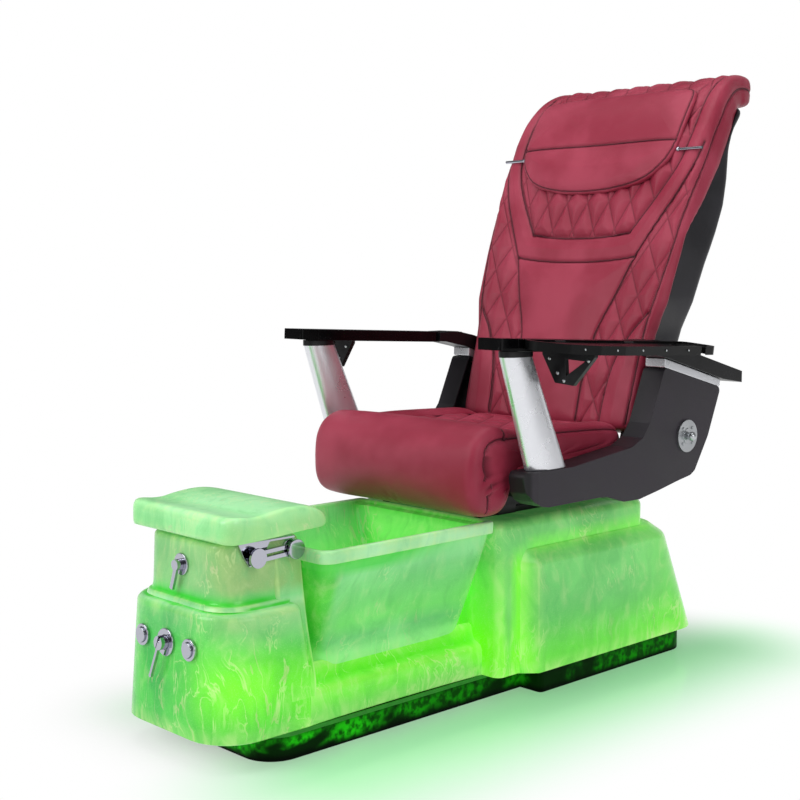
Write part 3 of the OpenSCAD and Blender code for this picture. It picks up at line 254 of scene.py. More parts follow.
@dataclass(frozen=True)
class FauxLeather(Finish):
    """Soft polyurethane upholstery cover with a fine pebble grain.

    It has a satin sheen and painted shade in its seams and quilting lines, and is a
    little paler and smoother in broad random patches.
    """

    name: str = "faux_leather_burgundy"
    colour: str = "90273d"
    pale: str = "a43a50"
    # painted shade colour in seams and quilting lines
    dark: str = "32080f"
    grain_mm: float = 1.1

    def dress(self, tree: Tree, shader: Node) -> None:
        """Lays the grain and folds, and paints shade into the seams and the quilting's lines."""
        flat = place(tree)
        broad = add(tree, "TexNoise", flat, 7.0, 3.0)
        crease, p, q, inside = (
            add(tree, "Attribute", out="Fac", attribute_name=name)
            for name in ("crease", "quilt_p", "quilt_q", "quilt_on")
        )
        sewn = []
        for phase in (p, q):
            gap = add(tree, "Math.ABSOLUTE", add(tree, "Math.SUBTRACT", phase, add(tree, "Math.ROUND", phase)))
            sewn.append(add(tree, "MapRange", gap, 0.045, 0.012))
        lines = add(tree, "Math.MULTIPLY", add(tree, "Math.MAXIMUM", *sewn), inside)
        tone = add(tree, "Mix", add(tree, "MapRange", broad, 0.36, 0.7), linear(self.colour), linear(self.pale))
        # painted shade in the seam grooves and along the quilting's stitched lines
        worked = add(tree, "Math.MAXIMUM", crease, add(tree, "Math.MULTIPLY", lines, 0.5))
        tone = add(tree, "Mix", add(tree, "Math.MULTIPLY", worked, 0.76), tone, linear(self.dark))
        cells = {"Vector": flat, "Scale": 1 / (self.grain_mm * MM)}
        pebble = add(tree, "MapRange", add(tree, "TexVoronoi", cells, feature="DISTANCE_TO_EDGE"), 0.0, 0.35)
        folds = add(tree, "TexNoise", place(tree, (1.0, 1.0, 0.5)), 90.0, 4.0, 1.5)
        raised = add(tree, "Math.MULTIPLY_ADD", folds, 0.5, pebble)
        height = add(tree, "Math.SUBTRACT", raised, add(tree, "Math.MULTIPLY", lines, 4.0))
        bump = {"Height": height, "Strength": 0.22, "Distance": 0.0006}
        wire(
            tree, shader, Base_Color=tone, Normal=add(tree, "Bump", bump),
            Roughness=add(tree, "MapRange", broad, 0.3, 0.75, 0.36, 0.46),
            Specular_IOR_Level=0.28, Sheen_Weight=0.03, Sheen_Roughness=0.4,
        )


@dataclass(frozen=True)
class Moulded(Finish):
    """Injection-moulded or sprayed plastic: an even colour with a fine surface grain.

    It is darker where the flank attribute is set.
    """

    colour: str = "35343a"
    worn: str = "403f46"
    roughness: float = 0.45
    grain_mm: float = 0.9
    grain: float = 0.1
    shine: float = 0.5
    flank: str = "08070a"

    def dress(self, tree: Tree, shader: Node) -> None:
        """Varies the colour and gloss a little and adds the grain."""
        flat = place(tree)
        broad = add(tree, "TexNoise", flat, 11.0, 4.0)
        tone = add(tree, "Mix", add(tree, "MapRange", broad, 0.35, 0.7), linear(self.colour), linear(self.worn))
        flank = add(tree, "Math.MULTIPLY", add(tree, "Attribute", out="Fac", attribute_name="flank"), 0.8)
        fine = add(tree, "TexNoise", flat, 1 / (self.grain_mm * MM), 2.0)
        rough = add(tree, "MapRange", broad, 0.3, 0.7, self.roughness * 0.85, min(1.0, self.roughness * 1.2))
        wire(
            tree, shader, Base_Color=add(tree, "Mix", flank, tone, linear(self.flank)), Roughness=rough,
            Normal=add(tree, "Bump", {"Height": fine, "Strength": self.grain, "Distance": 0.0003}),
            Specular_IOR_Level=self.shine, Coat_Roughness=0.05,
        )


@dataclass(frozen=True)
class Metal(Finish):
    """Bare or plated metal with faint polishing marks along one axis."""

    colour: str = "d8dadd"
    roughness: float = 0.2
    marks: Triple = (900.0, 900.0, 12.0)
    mark_strength: float = 0.03
    metallic: float = 1.0

    def dress(self, tree: Tree, shader: Node) -> None:
        """Smudges the gloss and adds the polishing marks."""
        smudge = add(tree, "TexNoise", place(tree), 14.0, 4.0)
        brushed = add(tree, "TexNoise", place(tree, self.marks), 1.0, 2.0)
        wire(
            tree, shader, Base_Color=linear(self.colour), Metallic=self.metallic,
            Roughness=add(tree, "MapRange", smudge, 0.3, 0.7, self.roughness * 0.8, self.roughness * 1.25),
            Normal=add(tree, "Bump", {"Height": brushed, "Strength": self.mark_strength, "Distance": 0.0002}),
        )


@dataclass(frozen=True)
class GlowPlinth(Finish):
    """Black recessed plinth with patches of green light thrown on its gloss."""

    name: str = "plinth_gloss_black"

    def dress(self, tree: Tree, shader: Node) -> None:
        """Throws broken light on a band below the light strip, brightest at the front."""
        flat = place(tree)
        along, high = (add(tree, "SeparateXYZ", flat, out=axis) for axis in "YZ")
        spots = add(tree, "TexNoise", place(tree, (1.0, 1.0, 1.6)), 6.5, 3.0, 0.3)
        speck = add(tree, "MapRange", add(tree, "TexNoise", flat, 70.0, 4.0), 0.36, 0.62, 0.2, 1.0)
        low, top = add(tree, "MapRange", high, 0.003, 0.02), add(tree, "MapRange", high, 0.062, 0.034)
        band = add(tree, "Math.MULTIPLY", low, top)
        # painted patches of green light from the strip, broken up by noise
        broken_light = add(tree, "Math.MULTIPLY", add(tree, "MapRange", spots, 0.44, 0.62), speck)
        front = add(tree, "Math.MULTIPLY", band, add(tree, "MapRange", along, -0.1, -0.5, 0.35, 1.0))
        patch = add(tree, "Math.MULTIPLY", broken_light, front)
        light = add(tree, "Math.MULTIPLY_ADD", patch, 0.85, add(tree, "Math.MULTIPLY", band, 0.02))
        wire(
            tree, shader, Base_Color=linear("030403"), Emission_Color=linear("22cc12"), Emission_Strength=light,
            Roughness=add(tree, "MapRange", speck, 0.2, 0.9, 0.3, 0.5), Specular_IOR_Level=0.05,
        )


@dataclass(frozen=True)
class Lamp(Finish):
    """Diffused light strip behind a frosted lens."""

    name: str = "light_strip_green"

    def dress(self, tree: Tree, shader: Node) -> None:
        """Makes the lens cloudy and lets it glow."""
        cells = add(tree, "MapRange", add(tree, "TexNoise", place(tree), 40.0, 2.0), 0.3, 0.7)
        tone = add(tree, "Mix", cells, linear("114a0e"), linear("1b6414"))
        wire(
            tree, shader, Base_Color=tone, Emission_Color=linear("35c020"), Emission_Strength=0.2, Roughness=0.5
        )


@dataclass(frozen=True)
class Plywood(Finish):
    """Birch plywood with long grain along the board."""

    name: str = "plywood_birch"

    def dress(self, tree: Tree, shader: Node) -> None:
        """Draws the grain out along the board."""
        rings = add(tree, "TexNoise", place(tree, (30.0, 2.0, 30.0)), 3.0, 6.0, 0.6)
        tone = add(tree, "Mix", add(tree, "MapRange", rings, 0.35, 0.68), linear("c9a371"), linear("9a7346"))
        wire(tree, shader, Base_Color=tone, Roughness=add(tree, "MapRange", rings, 0.3, 0.7, 0.55, 0.75))


class Finishes(Enum):
    """Every finish in the scene."""

    RESIN = CrystalResin()
    LEATHER = FauxLeather()
    # dark cord colour: partly the seams' welt, partly painted shade in their grooves
    PIPING = FauxLeather("faux_leather_seam", "4a1321", "5a1a2a", "25060d")
    SHELL = Moulded("moulded_abs_charcoal", "28242b", "312c34", 0.42, 0.8, 0.12, 0.35)
    COVER = Moulded("moulded_abs_black", "19181d", "212026", 0.42, 0.8, 0.12, 0.35)
    GLOSS = Moulded("gloss_abs_black", "030304", "060607", 0.16, 1.5, 0.01, 0.18)
    TRAY = Moulded("satin_gloss_abs_black", "040405", "080809", 0.3, 1.5, 0.02, 0.16)
    SATIN = Moulded("satin_abs_black", "0c0c0e", "131316", 0.35, 0.8, 0.05, 0.3)
    WHITE = Moulded("moulded_acetal_white", "e6e7e4", "dadcd8", 0.35, 0.8, 0.05)
    RUBBER = Moulded("rubber_black", "1a1a1b", "232324", 0.75, 0.7, 0.2)
    POWDER = Moulded("powder_coated_steel", "121214", "191a1c", 0.45, 0.5, 0.25, 0.3)
    ALUMINIUM = Metal("brushed_aluminium", "e6e7ec", 0.3, (900.0, 900.0, 12.0), 0.03, 0.8)
    CHROME = Metal("chrome_plated_brass", "b6b7c2", 0.09, (40.0, 40.0, 40.0), 0.01)
    STEEL = Metal("zinc_plated_steel", "b9bcbf", 0.32, (300.0, 20.0, 300.0), 0.05)
    BRASS = Metal("machined_brass", "c79d4a", 0.28)
    THREAD = Moulded("polyester_thread_burgundy", "a8475a", "9b3d50", 0.6, 0.4, 0.3)
    PLINTH = GlowPlinth()
    LIGHT = Lamp()
    PLY = Plywood()


# --------------------------------------------------------------- mesh making

ARC = 7  # pieces in each rounded corner
WELD = 1e-5  # metres
DEGENERATE = 1e-6  # metres
BEVEL_ANGLE = math.radians(32.0)
FLAT_ANGLE = math.radians(1.0)


def rounded(points: Sequence[Pair], radii: Sequence[float], cuts: Sequence[int], z: float) -> Ring:
    """Closed ring round a convex outline with a rounded corner at each point.

    Args:
        points: Corners in X and Y, counter-clockwise from above.
        radii: Corner radius at each point.
        cuts: Number of pieces that the edge after each point is cut into.
        z: Height of the ring.

    Returns:
        An array of points, as many for every ring with the same cuts.
    """
    spots = np.array(points, float)
    corners = []
    for here, before, after, radius in zip(spots, np.roll(spots, 1, 0) - spots, np.roll(spots, -1, 0) - spots, radii):
        before, after = before / np.linalg.norm(before), after / np.linalg.norm(after)
        half = math.acos(max(-1.0, min(1.0, float(before @ after)))) / 2
        middle = here + (before + after) / np.linalg.norm(before + after) * radius / math.sin(half)
        x, y = here + before * (radius / math.tan(half)) - middle
        turns = [(math.pi - 2 * half) * k / ARC for k in range(ARC + 1)]
        corners.append([middle + (x * math.cos(a) - y * math.sin(a), x * math.sin(a) + y * math.cos(a)) for a in turns])
    ring = []
    for steps, follow, count in zip(corners, corners[1:] + corners[:1], cuts):
        ring += steps
        ring += [steps[-1] + (follow[0] - steps[-1]) * k / count for k in range(1, count)]
    return np.column_stack([np.array(ring), np.full(len(ring), z)])


def plan_ring(
    z: float, half: float, y0: float, y1: float, front: float, rear: float, cuts: tuple[int, int] = (24, 34)
) -> Ring:
    """Ring of a four-sided plan with rounded front and rear corners."""
    corners = [(-half, y0), (half, y0), (half, y1), (-half, y1)]
    return rounded(corners, [front, front, rear, rear], [*cuts, *cuts], z)


def dense(rings: Sequence[Ring], step: float) -> list[Ring]:
    """Adds rings between the given ones so that none are further apart than the step."""
    out = [rings[0]]
    for a, b in zip(rings, rings[1:]):
        count = max(1, math.ceil(float(np.linalg.norm(b - a, axis=1).max()) / step))
        out.extend(a + (b - a) * k / count for k in range(1, count + 1))
    return out


def lofted(rings: Sequence[Ring], capped: tuple[bool, bool] = (True, True)) -> Skin:
    """Skins closed rings of equal length; capped says which ends a fan closes."""
    size, last = len(rings[0]), len(rings) - 1
    points = np.vstack(rings)
    faces = [
        (i * size + j, i * size + (j + 1) % size, (i + 1) * size + (j + 1) % size, (i + 1) * size + j)
        for i in range(last)
        for j in range(size)
    ]
    for capped_end, first in zip(capped, (0, last * size)):
        if capped_end:
            points = np.vstack([points, points[first : first + size].mean(0)])
            faces.extend((first + j, first + (j + 1) % size, len(points) - 1) for j in range(size))
    return points, faces


def joined(*parts: Skin) -> Skin:
    """Puts several meshes' points and faces into one."""
    faces, offset = [], 0
    for points, part_faces in parts:
        faces.extend(tuple(i + offset for i in face) for face in part_faces)
        offset += len(points)
    return np.vstack([points for points, _ in parts]), faces


def both_sides(part: Skin) -> Skin:
    """The mesh and its mirror image on the chair's other side."""
    points, faces = part
    return joined(part, (points * np.array([-1, 1, 1]), [tuple(reversed(face)) for face in faces]))


def linked(name: str, data: bpy.types.ID) -> Piece:
    """Makes an object of the data and links it to the scene."""
    obj = bpy.data.objects.new(name, data)
    bpy.context.scene.collection.objects.link(obj)
    return obj


def plain_mesh(name: str, points: Sequence, faces: list) -> bpy.types.Mesh:
    """Makes a mesh of points in millimetres, as they are."""
    mesh = bpy.data.meshes.new(name)
    mesh.from_pydata((np.asarray(points, float) * MM).tolist(), [], faces)
    return mesh


def reworked(mesh: bpy.types.Mesh, source: bpy.types.Mesh, change: Callable[[bmesh.types.BMesh], None]) -> None:
    """Fills a mesh with the source after a change."""
    work = bmesh.new()
    work.from_mesh(source)
    change(work)
    work.to_mesh(mesh)
    work.free()


def tidy_object(name: str, mesh: bpy.types.Mesh, sharp: float) -> Piece:
    """Welds a mesh, turns its faces outward, shades it smooth and links it."""

    def clean(work: bmesh.types.BMesh) -> None:
        bmesh.ops.remove_doubles(work, verts=work.verts, dist=WELD)
        bmesh.ops.dissolve_degenerate(work, dist=DEGENERATE, edges=work.edges)
        bmesh.ops.recalc_face_normals(work, faces=work.faces)

    reworked(mesh, mesh, clean)
    shade(mesh, sharp)
    return linked(name, mesh)


def mesh_object(name: str, skin: Skin, sharp: float = 40.0) -> Piece:
    """Makes a smooth-shaded object of a skin; edges above the angle in degrees stay sharp."""
    return tidy_object(name, plain_mesh(name, *skin), sharp)


def shade(mesh: bpy.types.Mesh, sharp: float) -> None:
    """Shades smooth, apart from edges steeper than the angle in degrees."""
    mesh.shade_smooth()
    mesh.set_sharp_from_angle(angle=math.radians(sharp))


def evaluated(obj: Piece) -> bpy.types.Mesh:
    """A new mesh of the object with its modifiers."""
    graph = bpy.context.evaluated_depsgraph_get()
    return bpy.data.meshes.new_from_object(obj.evaluated_get(graph))


def apply_modifiers(obj: Piece) -> None:
    """Replaces the object's mesh by the result of its modifiers."""
    made, old = evaluated(obj), obj.data
    obj.modifiers.clear()
    obj.data = made
    bpy.data.meshes.remove(old)
    made.name = obj.name


def point_values(obj: Piece, name: str, values: np.ndarray) -> None:
    """Stores one number for each point of the mesh."""
    layer = obj.data.attributes.get(name) or obj.data.attributes.new(name, "FLOAT", "POINT")
    layer.data.foreach_set("value", np.asarray(values, np.float32))


def values_of(obj: Piece, name: str) -> np.ndarray:
    """The number stored for each point of the mesh."""
    values = np.zeros(len(obj.data.vertices), np.float32)
    obj.data.attributes[name].data.foreach_get("value", values)
    return values.astype(float)


def vectors_of(obj: Piece, key: str) -> np.ndarray:
    """A vector of each point of the mesh."""
    flat = np.zeros(len(obj.data.vertices) * 3)
    obj.data.vertices.foreach_get(key, flat)
    return flat.reshape(-1, 3)


def points_of(obj: Piece) -> np.ndarray:
    """The mesh's points in millimetres."""
    return vectors_of(obj, "co") / MM


def normals_of(obj: Piece) -> np.ndarray:
    """The mesh's point normals."""
    return vectors_of(obj, "normal")


def move_points(obj: Piece, points: np.ndarray) -> None:
    """Sets the mesh's points from millimetres."""
    obj.data.vertices.foreach_set("co", (points * MM).ravel())
    obj.data.update()


def smooth_step(value: float | np.ndarray, low: float, high: float) -> float | np.ndarray:
    """Rises smoothly from 0 at low to 1 at high, or falls if high is below low."""
    t = np.clip((value - low) / (high - low), 0.0, 1.0)
    return t * t * (3 - 2 * t)


def fade(distance: np.ndarray, width: float) -> np.ndarray:
    """1 at no distance and falling off smoothly with the given width."""
    return np.exp(-((distance / width) ** 2))


def even(line: np.ndarray, step: float) -> np.ndarray:
    """Cuts a line into even steps."""
    run = np.concatenate([[0], np.cumsum(np.linalg.norm(np.diff(line, axis=0), axis=1))])
    at = np.linspace(0, run[-1], max(2, round(run[-1] / step)) + 1)
    return np.column_stack([np.interp(at, run, column) for column in line.T])


def spline(points: Sequence[Sequence[float]], step: float, closed: bool = False) -> np.ndarray:
    """Smooth line through points of any dimension, cut into even steps.

    A closed line runs back to its start and doesn't repeat its first point.
    """
    p = np.array(points, float)
    p = np.vstack([p[-1], p, p[0], p[1]] if closed else [2 * p[0] - p[1], p, 2 * p[-1] - p[-2]])
    t = np.linspace(0, 1, 24, endpoint=False)[:, None]
    rows = [
        0.5 * ((2 * b) + (c - a) * t + (2 * a - 5 * b + 4 * c - d) * t**2 + (3 * b - a - 3 * c + d) * t**3)
        for a, b, c, d in zip(p, p[1:], p[2:], p[3:])
    ]
    line = even(np.vstack([*rows, p[-2][None]]), step)
    return line[:-1] if closed else line


def tree_of(points: Sequence) -> KDTree:
    """Search tree over points."""
    tree = KDTree(len(points))
    for i, p in enumerate(points):
        tree.insert(p, i)
    tree.balance()
    return tree


def distances(points: np.ndarray, targets: Sequence) -> np.ndarray:
    """Distance from each point to the nearest target."""
    tree = tree_of(targets)
    return np.array([tree.find(p)[2] for p in points])


def read(table: Sequence[Pair], at: float | np.ndarray, **ends: float) -> float | np.ndarray:
    """Looks up the table's second column at values of its first."""
    rows = np.array(table, float)
    found = np.interp(at, rows[:, 0], rows[:, 1], **ends)
    return found if np.ndim(at) else float(found)


@dataclass
class Chair:
    """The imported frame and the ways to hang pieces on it."""

    frame: dict

    def body_of(self, node: str) -> str:
        """Name of the moving body that carries a CAD node."""
        return self.frame["nodes"][node]["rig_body"]

    def hang(self, obj: Piece, node: str, finish: Finishes, slot: str, *more: str) -> Piece:
        """Gives a new piece its finish and lets it stand for CAD nodes.

        Args:
            obj: The piece.
            node: The CAD node whose body it rides on and that it replaces.
            finish: Its finish.
            slot: Its material slot in the record; not used.
            *more: Further CAD nodes that it replaces.

        Returns:
            The piece.
        """
        finish.value.apply(obj)
        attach(obj, self.body_of(node))
        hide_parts(node, *more)
        return obj

    def add(self, obj: Piece, body: str, finish: Finishes, slot: str) -> Piece:
        """Gives an extra piece its finish and body; it replaces nothing."""
        finish.value.apply(obj)
        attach(obj, body)
        return obj

    def dress(self, node: str, finish: Finishes) -> None:
        """Gives a CAD node its finish and keeps its mesh."""
        finish.value.apply(self.frame["nodes"][node])

    def softened(self, node: str, finish: Finishes, slot: str, width: float, segments: int = 3) -> Piece:
        """Copies a CAD node, welds the copy and rounds its edges.

        Args:
            node: The CAD node, which the copy replaces.
            finish: Its finish.
            slot: Its material slot in the record; not used.
            width: Width of the rounding in millimetres.
            segments: Pieces across the rounding.

        Returns:
            The rounded copy.
        """

        def weld(work: bmesh.types.BMesh) -> None:
            bmesh.ops.remove_doubles(work, verts=work.verts, dist=WELD)
            bmesh.ops.dissolve_limit(work, angle_limit=FLAT_ANGLE, verts=work.verts, edges=work.edges)

        name = f"{node}_soft"
        mesh = bpy.data.meshes.new(name)
        reworked(mesh, self.frame["nodes"][node].data, weld)
        obj = tidy_object(name, mesh, 60.0)
        bevel = obj.modifiers.new("round", "BEVEL")
        bevel.width = width * MM
        bevel.segments = segments
        bevel.limit_method = "ANGLE"
        bevel.angle_limit = BEVEL_ANGLE
        bevel.use_clamp_overlap = True
        bevel.harden_normals = False
        apply_modifiers(obj)
        shade(obj.data, 38.0)
        obj.modifiers.new("even_light", "WEIGHTED_NORMAL").keep_sharp = True
        apply_modifiers(obj)
        return self.hang(obj, node, finish, slot)


# --------------------------------------------------------------------- tub


def roundness(obj: Piece, radius: float = 9.0, outward: bool = True) -> np.ndarray:
    """How sharply the surface turns outwards or inwards at each point, 1 at the given radius."""
    points, normals = points_of(obj), normals_of(obj)
    ends = np.zeros(len(obj.data.edges) * 2, np.int32)
    obj.data.edges.foreach_get("vertices", ends)
    first, second = ends.reshape(-1, 2).T
    step = points[second] - points[first]
    size = np.maximum((step**2).sum(1), 1e-6)
    bend = np.zeros(len(points))
    facing = 1.0 if outward else -1.0
    for near, sign in ((first, -facing), (second, facing)):
        np.maximum.at(bend, near, sign * (step * normals[near]).sum(1) * 2 / size)
    for _ in range(2):
        total, count = bend.copy(), np.ones(len(points))
        for here, there in ((first, second), (second, first)):
            np.add.at(total, here, bend[there])
            np.add.at(count, here, 1)
        bend = total / count
    return np.clip(bend * radius, 0, 1)


def light_up(obj: Piece, glow: Shares, milk: Shares, olive: Shares = lambda x, y, z: 0.0) -> None:
    """Stores painted edge highlights, painted crease light and the resin's shares at each point.

    Args:
        obj: A resin piece.
        glow: Gives the painted glow of the light from inside, from 0 to 1, at X, Y and Z in millimetres.
        milk: Gives the share of milky mint there.
        olive: Gives the share of dull olive there.
    """
    points = points_of(obj)
    # painted highlights on convex edges
    point_values(obj, "edge", roundness(obj))
    # painted light in concave creases
    point_values(obj, "crease", roundness(obj, 14.0, False))
    for name, share in (("olive", olive), ("glow", glow), ("milk", milk)):
        point_values(obj, name, np.zeros(len(points)) + np.clip(share(*points.T), 0, 1))


@dataclass
class Tower:
    """Front block with the footrest column on it, one hollow moulding."""

    half: float = 186.0
    top_half: float = 177.0
    front: float = -731.5
    rear_low: float = -490.0
    rear_high: float = -517.0
    lean: float = 15.0
    bottom: float = 60.0
    top: float = 316.0
    column_half: float = 135.0
    column_front: float = -680.5
    column_rear: float = -488.0
    column_top: float = 440.0
    lip: tuple[Pair, ...] = (
        (311.5, 13), (314.2, 11.5), (317, 10), (319.5, 8.5), (320.6, 6), (321.5, 3.6), (325, 1.6), (331, 0.4), (342, 0)
    )
    panel: tuple[Pair, ...] = (
        (120, 184), (150, 184), (166, 181.5), (180, 178), (200, 172), (225, 165.5), (255, 158.5), (290, 152),
        (325, 146.5), (360, 142), (395, 138), (420, 136),
    )

    def block(self) -> list[Ring]:
        """Rings of the block from its open foot up to the column's foot."""

        def at(z: float, inset: float) -> Ring:
            rise = (z - self.bottom) / (self.top - self.bottom)
            half = self.half + (self.top_half - self.half) * rise - inset
            rear = self.rear_low + (self.rear_high - self.rear_low) * np.clip((z - 120) / 180, 0, 1) - inset * 0.8
            front = self.front + self.lean * rise + inset
            return plan_ring(z, half, front, rear, 96 - inset * 0.7, 18 - min(inset, 10) * 0.6)

        rings = [at(self.bottom + rise, inset) for rise, inset in ((8, 7), (1, 6), (0, 3.5), (2.5, 0))]
        rings += [at(z, 0) for z in (90, 120, 150, 180, 210, 240, 270, 296)]
        rings += [at(296 + 14 * math.sin(a), 14 * (1 - math.cos(a))) for a in np.radians(range(15, 91, 15))]
        return [*rings, at(310.6, 20)]

    def column(self) -> list[Ring]:
        """Rings of the lip round the column's foot, its walls and its top."""

        def at(z: float, grow: float) -> Ring:
            low = 1 - np.clip((z - 320) / 120, 0, 1)
            rear = self.column_rear - 1.6 * max(grow, 0) + min(grow, 0)
            half, front = self.column_half + 4 * low + grow, self.column_front - 3 * low - grow
            return plan_ring(z, half, front, rear, 52 + max(grow, -20), 22 + max(grow, 0))

        rings = [at(z, grow) for z, grow in (*self.lip, (360, 0), (385, 0), (410, 0), (430, 0))]
        rings += [at(430 + 10 * math.sin(a), -10 * (1 - math.cos(a))) for a in np.radians([22.5, 45, 67.5, 90])]
        return [*rings, at(self.column_top, -40)]

    def flange(self) -> list[Ring]:
        """Rings of the panel behind the block, which widens from the column down to the ledge."""
        rear = self.rear_low + 1.5
        return [plan_ring(z, half, -560, rear - 0.2 * max(0, z - 300) / 100, 8, 7) for z, half in self.panel]

    def make(self, chair: Chair) -> Piece:
        """Builds the tower in place of its CAD node."""
        front = lofted(dense(self.block() + self.column(), 15), (False, True))
        obj = mesh_object("tower_shell", joined(front, lofted(dense(self.flange(), 15))), 50)

        # painted glow from the light strip inside the block, with a bright spot at its front corner
        def glow(x: np.ndarray, y: np.ndarray, z: np.ndarray) -> np.ndarray:
            low = smooth_step(z, 300, 110)
            corner = fade(np.hypot(x - 168, (y + 655) * 0.75), 100) * fade(z - 168, 80)
            rear = smooth_step(y, -600, -500) * smooth_step(z, 290, 190)
            return 0.12 * low * smooth_step(x, -60, 140) + 0.85 * corner + 0.45 * rear * low

        def milk(x: np.ndarray, y: np.ndarray, z: np.ndarray) -> np.ndarray:
            return smooth_step(z, 180, 330) * (0.2 + 0.45 * smooth_step(y, -735, -640)) + 0.6 * fade(z - 312, 5)

        def olive(x: np.ndarray, y: np.ndarray, z: np.ndarray) -> np.ndarray:
            shoulder = smooth_step(z, 230, 300) * smooth_step(x, 100, 170) * smooth_step(z, 322, 310)
            return smooth_step(z, 322, 350) * (0.5 + 0.4 * smooth_step(x, 60, 130)) + 0.35 * shoulder

        light_up(obj, glow, milk, olive)
        return chair.hang(obj, "front_tower", Finishes.RESIN, "crystal_shell", "footrest_column")


@dataclass
class Skirt:
    """Low side walls of the tub with a soft ledge along the top."""

    half: float = 186.0
    waist: float = 179.0
    y0: float = -508.0
    y1: float = -6.0
    shape: tuple[Pair, ...] = (
        (-30, 62), (-6, 60), (-1.5, 61), (0, 64), (0, 84), (0, 104), (-0.8, 119), (-3.5, 127), (-8.5, 131.5),
        (-16, 134.5), (-24, 139), (-29, 148), (-32, 161), (-35, 170), (-42, 174), (-52, 150), (-50, 80),
    )

    def profile(self, y: float) -> Ring:
        """Section in X and Z, thick enough to show as a solid moulding."""
        middle = math.sin(math.pi * np.clip((y - self.y0) / (self.y1 - self.y0), 0, 1)) ** 0.6
        half = self.half + (self.waist - self.half) * middle
        return np.array([(half + inset, y, z) for inset, z in self.shape])

    def make(self, chair: Chair) -> Piece:
        """Builds both sides in place of the CAD node."""
        side = lofted([self.profile(float(y)) for y in np.linspace(self.y0, self.y1, 44)])
        obj = mesh_object("skirt_shell", both_sides(side), 55)

        # painted glow from the light strip inside the skirt
        def glow(x: np.ndarray, y: np.ndarray, z: np.ndarray) -> np.ndarray:
            return 0.62 + 0.3 * fade(z - 140, 30) + 0.2 * smooth_step(y, -90, -10) - 0.3 * smooth_step(z, 110, 66)

        light_up(obj, glow, lambda x, y, z: 0.05, lambda x, y, z: 0.1)
        return chair.hang(obj, "tub_skirt", Finishes.RESIN, "crystal_shell")


@dataclass
class Basin:
    """Foot basin: a flared bowl with a flat rim band."""

    rim_half: float = 222.0
    rim_top: float = 416.0
    rim_height: float = 28.0
    foot_half: float = 149.0
    foot: float = 160.0
    floor: float = 173.0
    front: float = -498.0
    rear: float = -8.0
    cuts: tuple[int, int] = (22, 30)
    band: tuple[Pair, ...] = (
        (4, 0.5), (7.5, 1.2), (8.6, 3), (9, 6), (9, 14), (9, 22), (8.4, 25.6), (6.6, 27.4), (3.5, 28), (-2, 28),
        (-5.5, 27.2), (-7.4, 25.2), (-8.2, 21),
    )

    def rings(self) -> list[Ring]:
        """Rings up the outer wall, over the rim band and down to the basin's floor."""
        under, shoulder = self.rim_top - self.rim_height, self.rim_half - 9
        floor_half, floor_front, floor_rear = self.foot_half - 10, self.front + 60, self.rear - 20
        sizes = []
        for t in np.linspace(0, 1, 14):
            half, back = self.foot_half + (shoulder - self.foot_half) * t, self.rear - 22 * (1 - t) ** 1.4 - 2
            height = self.foot + (under - self.foot) * t
            sizes.append((height, half, self.front + 50 - 44 * t, back, 40 - 12 * t, 46 - 30 * t))
        for grow, rise in self.band:
            front, back = self.front + 6 - grow * 0.66, self.rear - 2 + min(grow, 1.5)
            sizes.append((under + rise, shoulder + grow, front, back, 28, 12 - min(grow, 4)))
        for t in np.linspace(1, 0, 14):
            height = self.floor + 22 + (self.rim_top - 12 - self.floor - 22) * t
            half = floor_half + (self.rim_half - 20 - floor_half) * t
            sizes.append((height, half, floor_front - 44 * t, floor_rear, 34, 30))
        for k in range(1, 6):
            a = math.radians(18 * k)
            inset = 22 * (1 - math.cos(a))
            height = self.floor + 22 * (1 - math.sin(a))
            sizes.append((height, floor_half - inset, floor_front + inset, floor_rear - inset, 34 - 4 * k, 30 - 3 * k))
        return [plan_ring(*size, self.cuts) for size in sizes]

    def make(self, chair: Chair) -> Piece:
        """Builds the bowl in place of its CAD node."""
        obj = mesh_object("basin_shell", lofted(dense(self.rings(), 22)), 50)

        def behind(y: np.ndarray, z: np.ndarray) -> np.ndarray:
            return smooth_step(y, -440, -470) * smooth_step(z, 385, 360)

        # painted glow from the light inside the tub
        def glow(x: np.ndarray, y: np.ndarray, z: np.ndarray) -> np.ndarray:
            inside = smooth_step(np.abs(x), 215, 150) * smooth_step(y, -470, -420) * smooth_step(z, 200, 260)
            rear = smooth_step(y, -60, -20) * smooth_step(z, 330, 200)
            return 0.35 * smooth_step(z, 215, 165) + 0.5 * inside + 0.4 * rear + 0.25 * behind(y, z)

        def milk(x: np.ndarray, y: np.ndarray, z: np.ndarray) -> np.ndarray:
            inside = smooth_step(np.abs(x), 212, 196) * smooth_step(z, 180, 200)
            return 0.85 + 0.15 * smooth_step(z, 384, 392) - 0.35 * inside - 0.7 * behind(y, z)

        light_up(obj, glow, milk)
        return chair.hang(obj, "tub_basin", Finishes.RESIN, "crystal_shell")


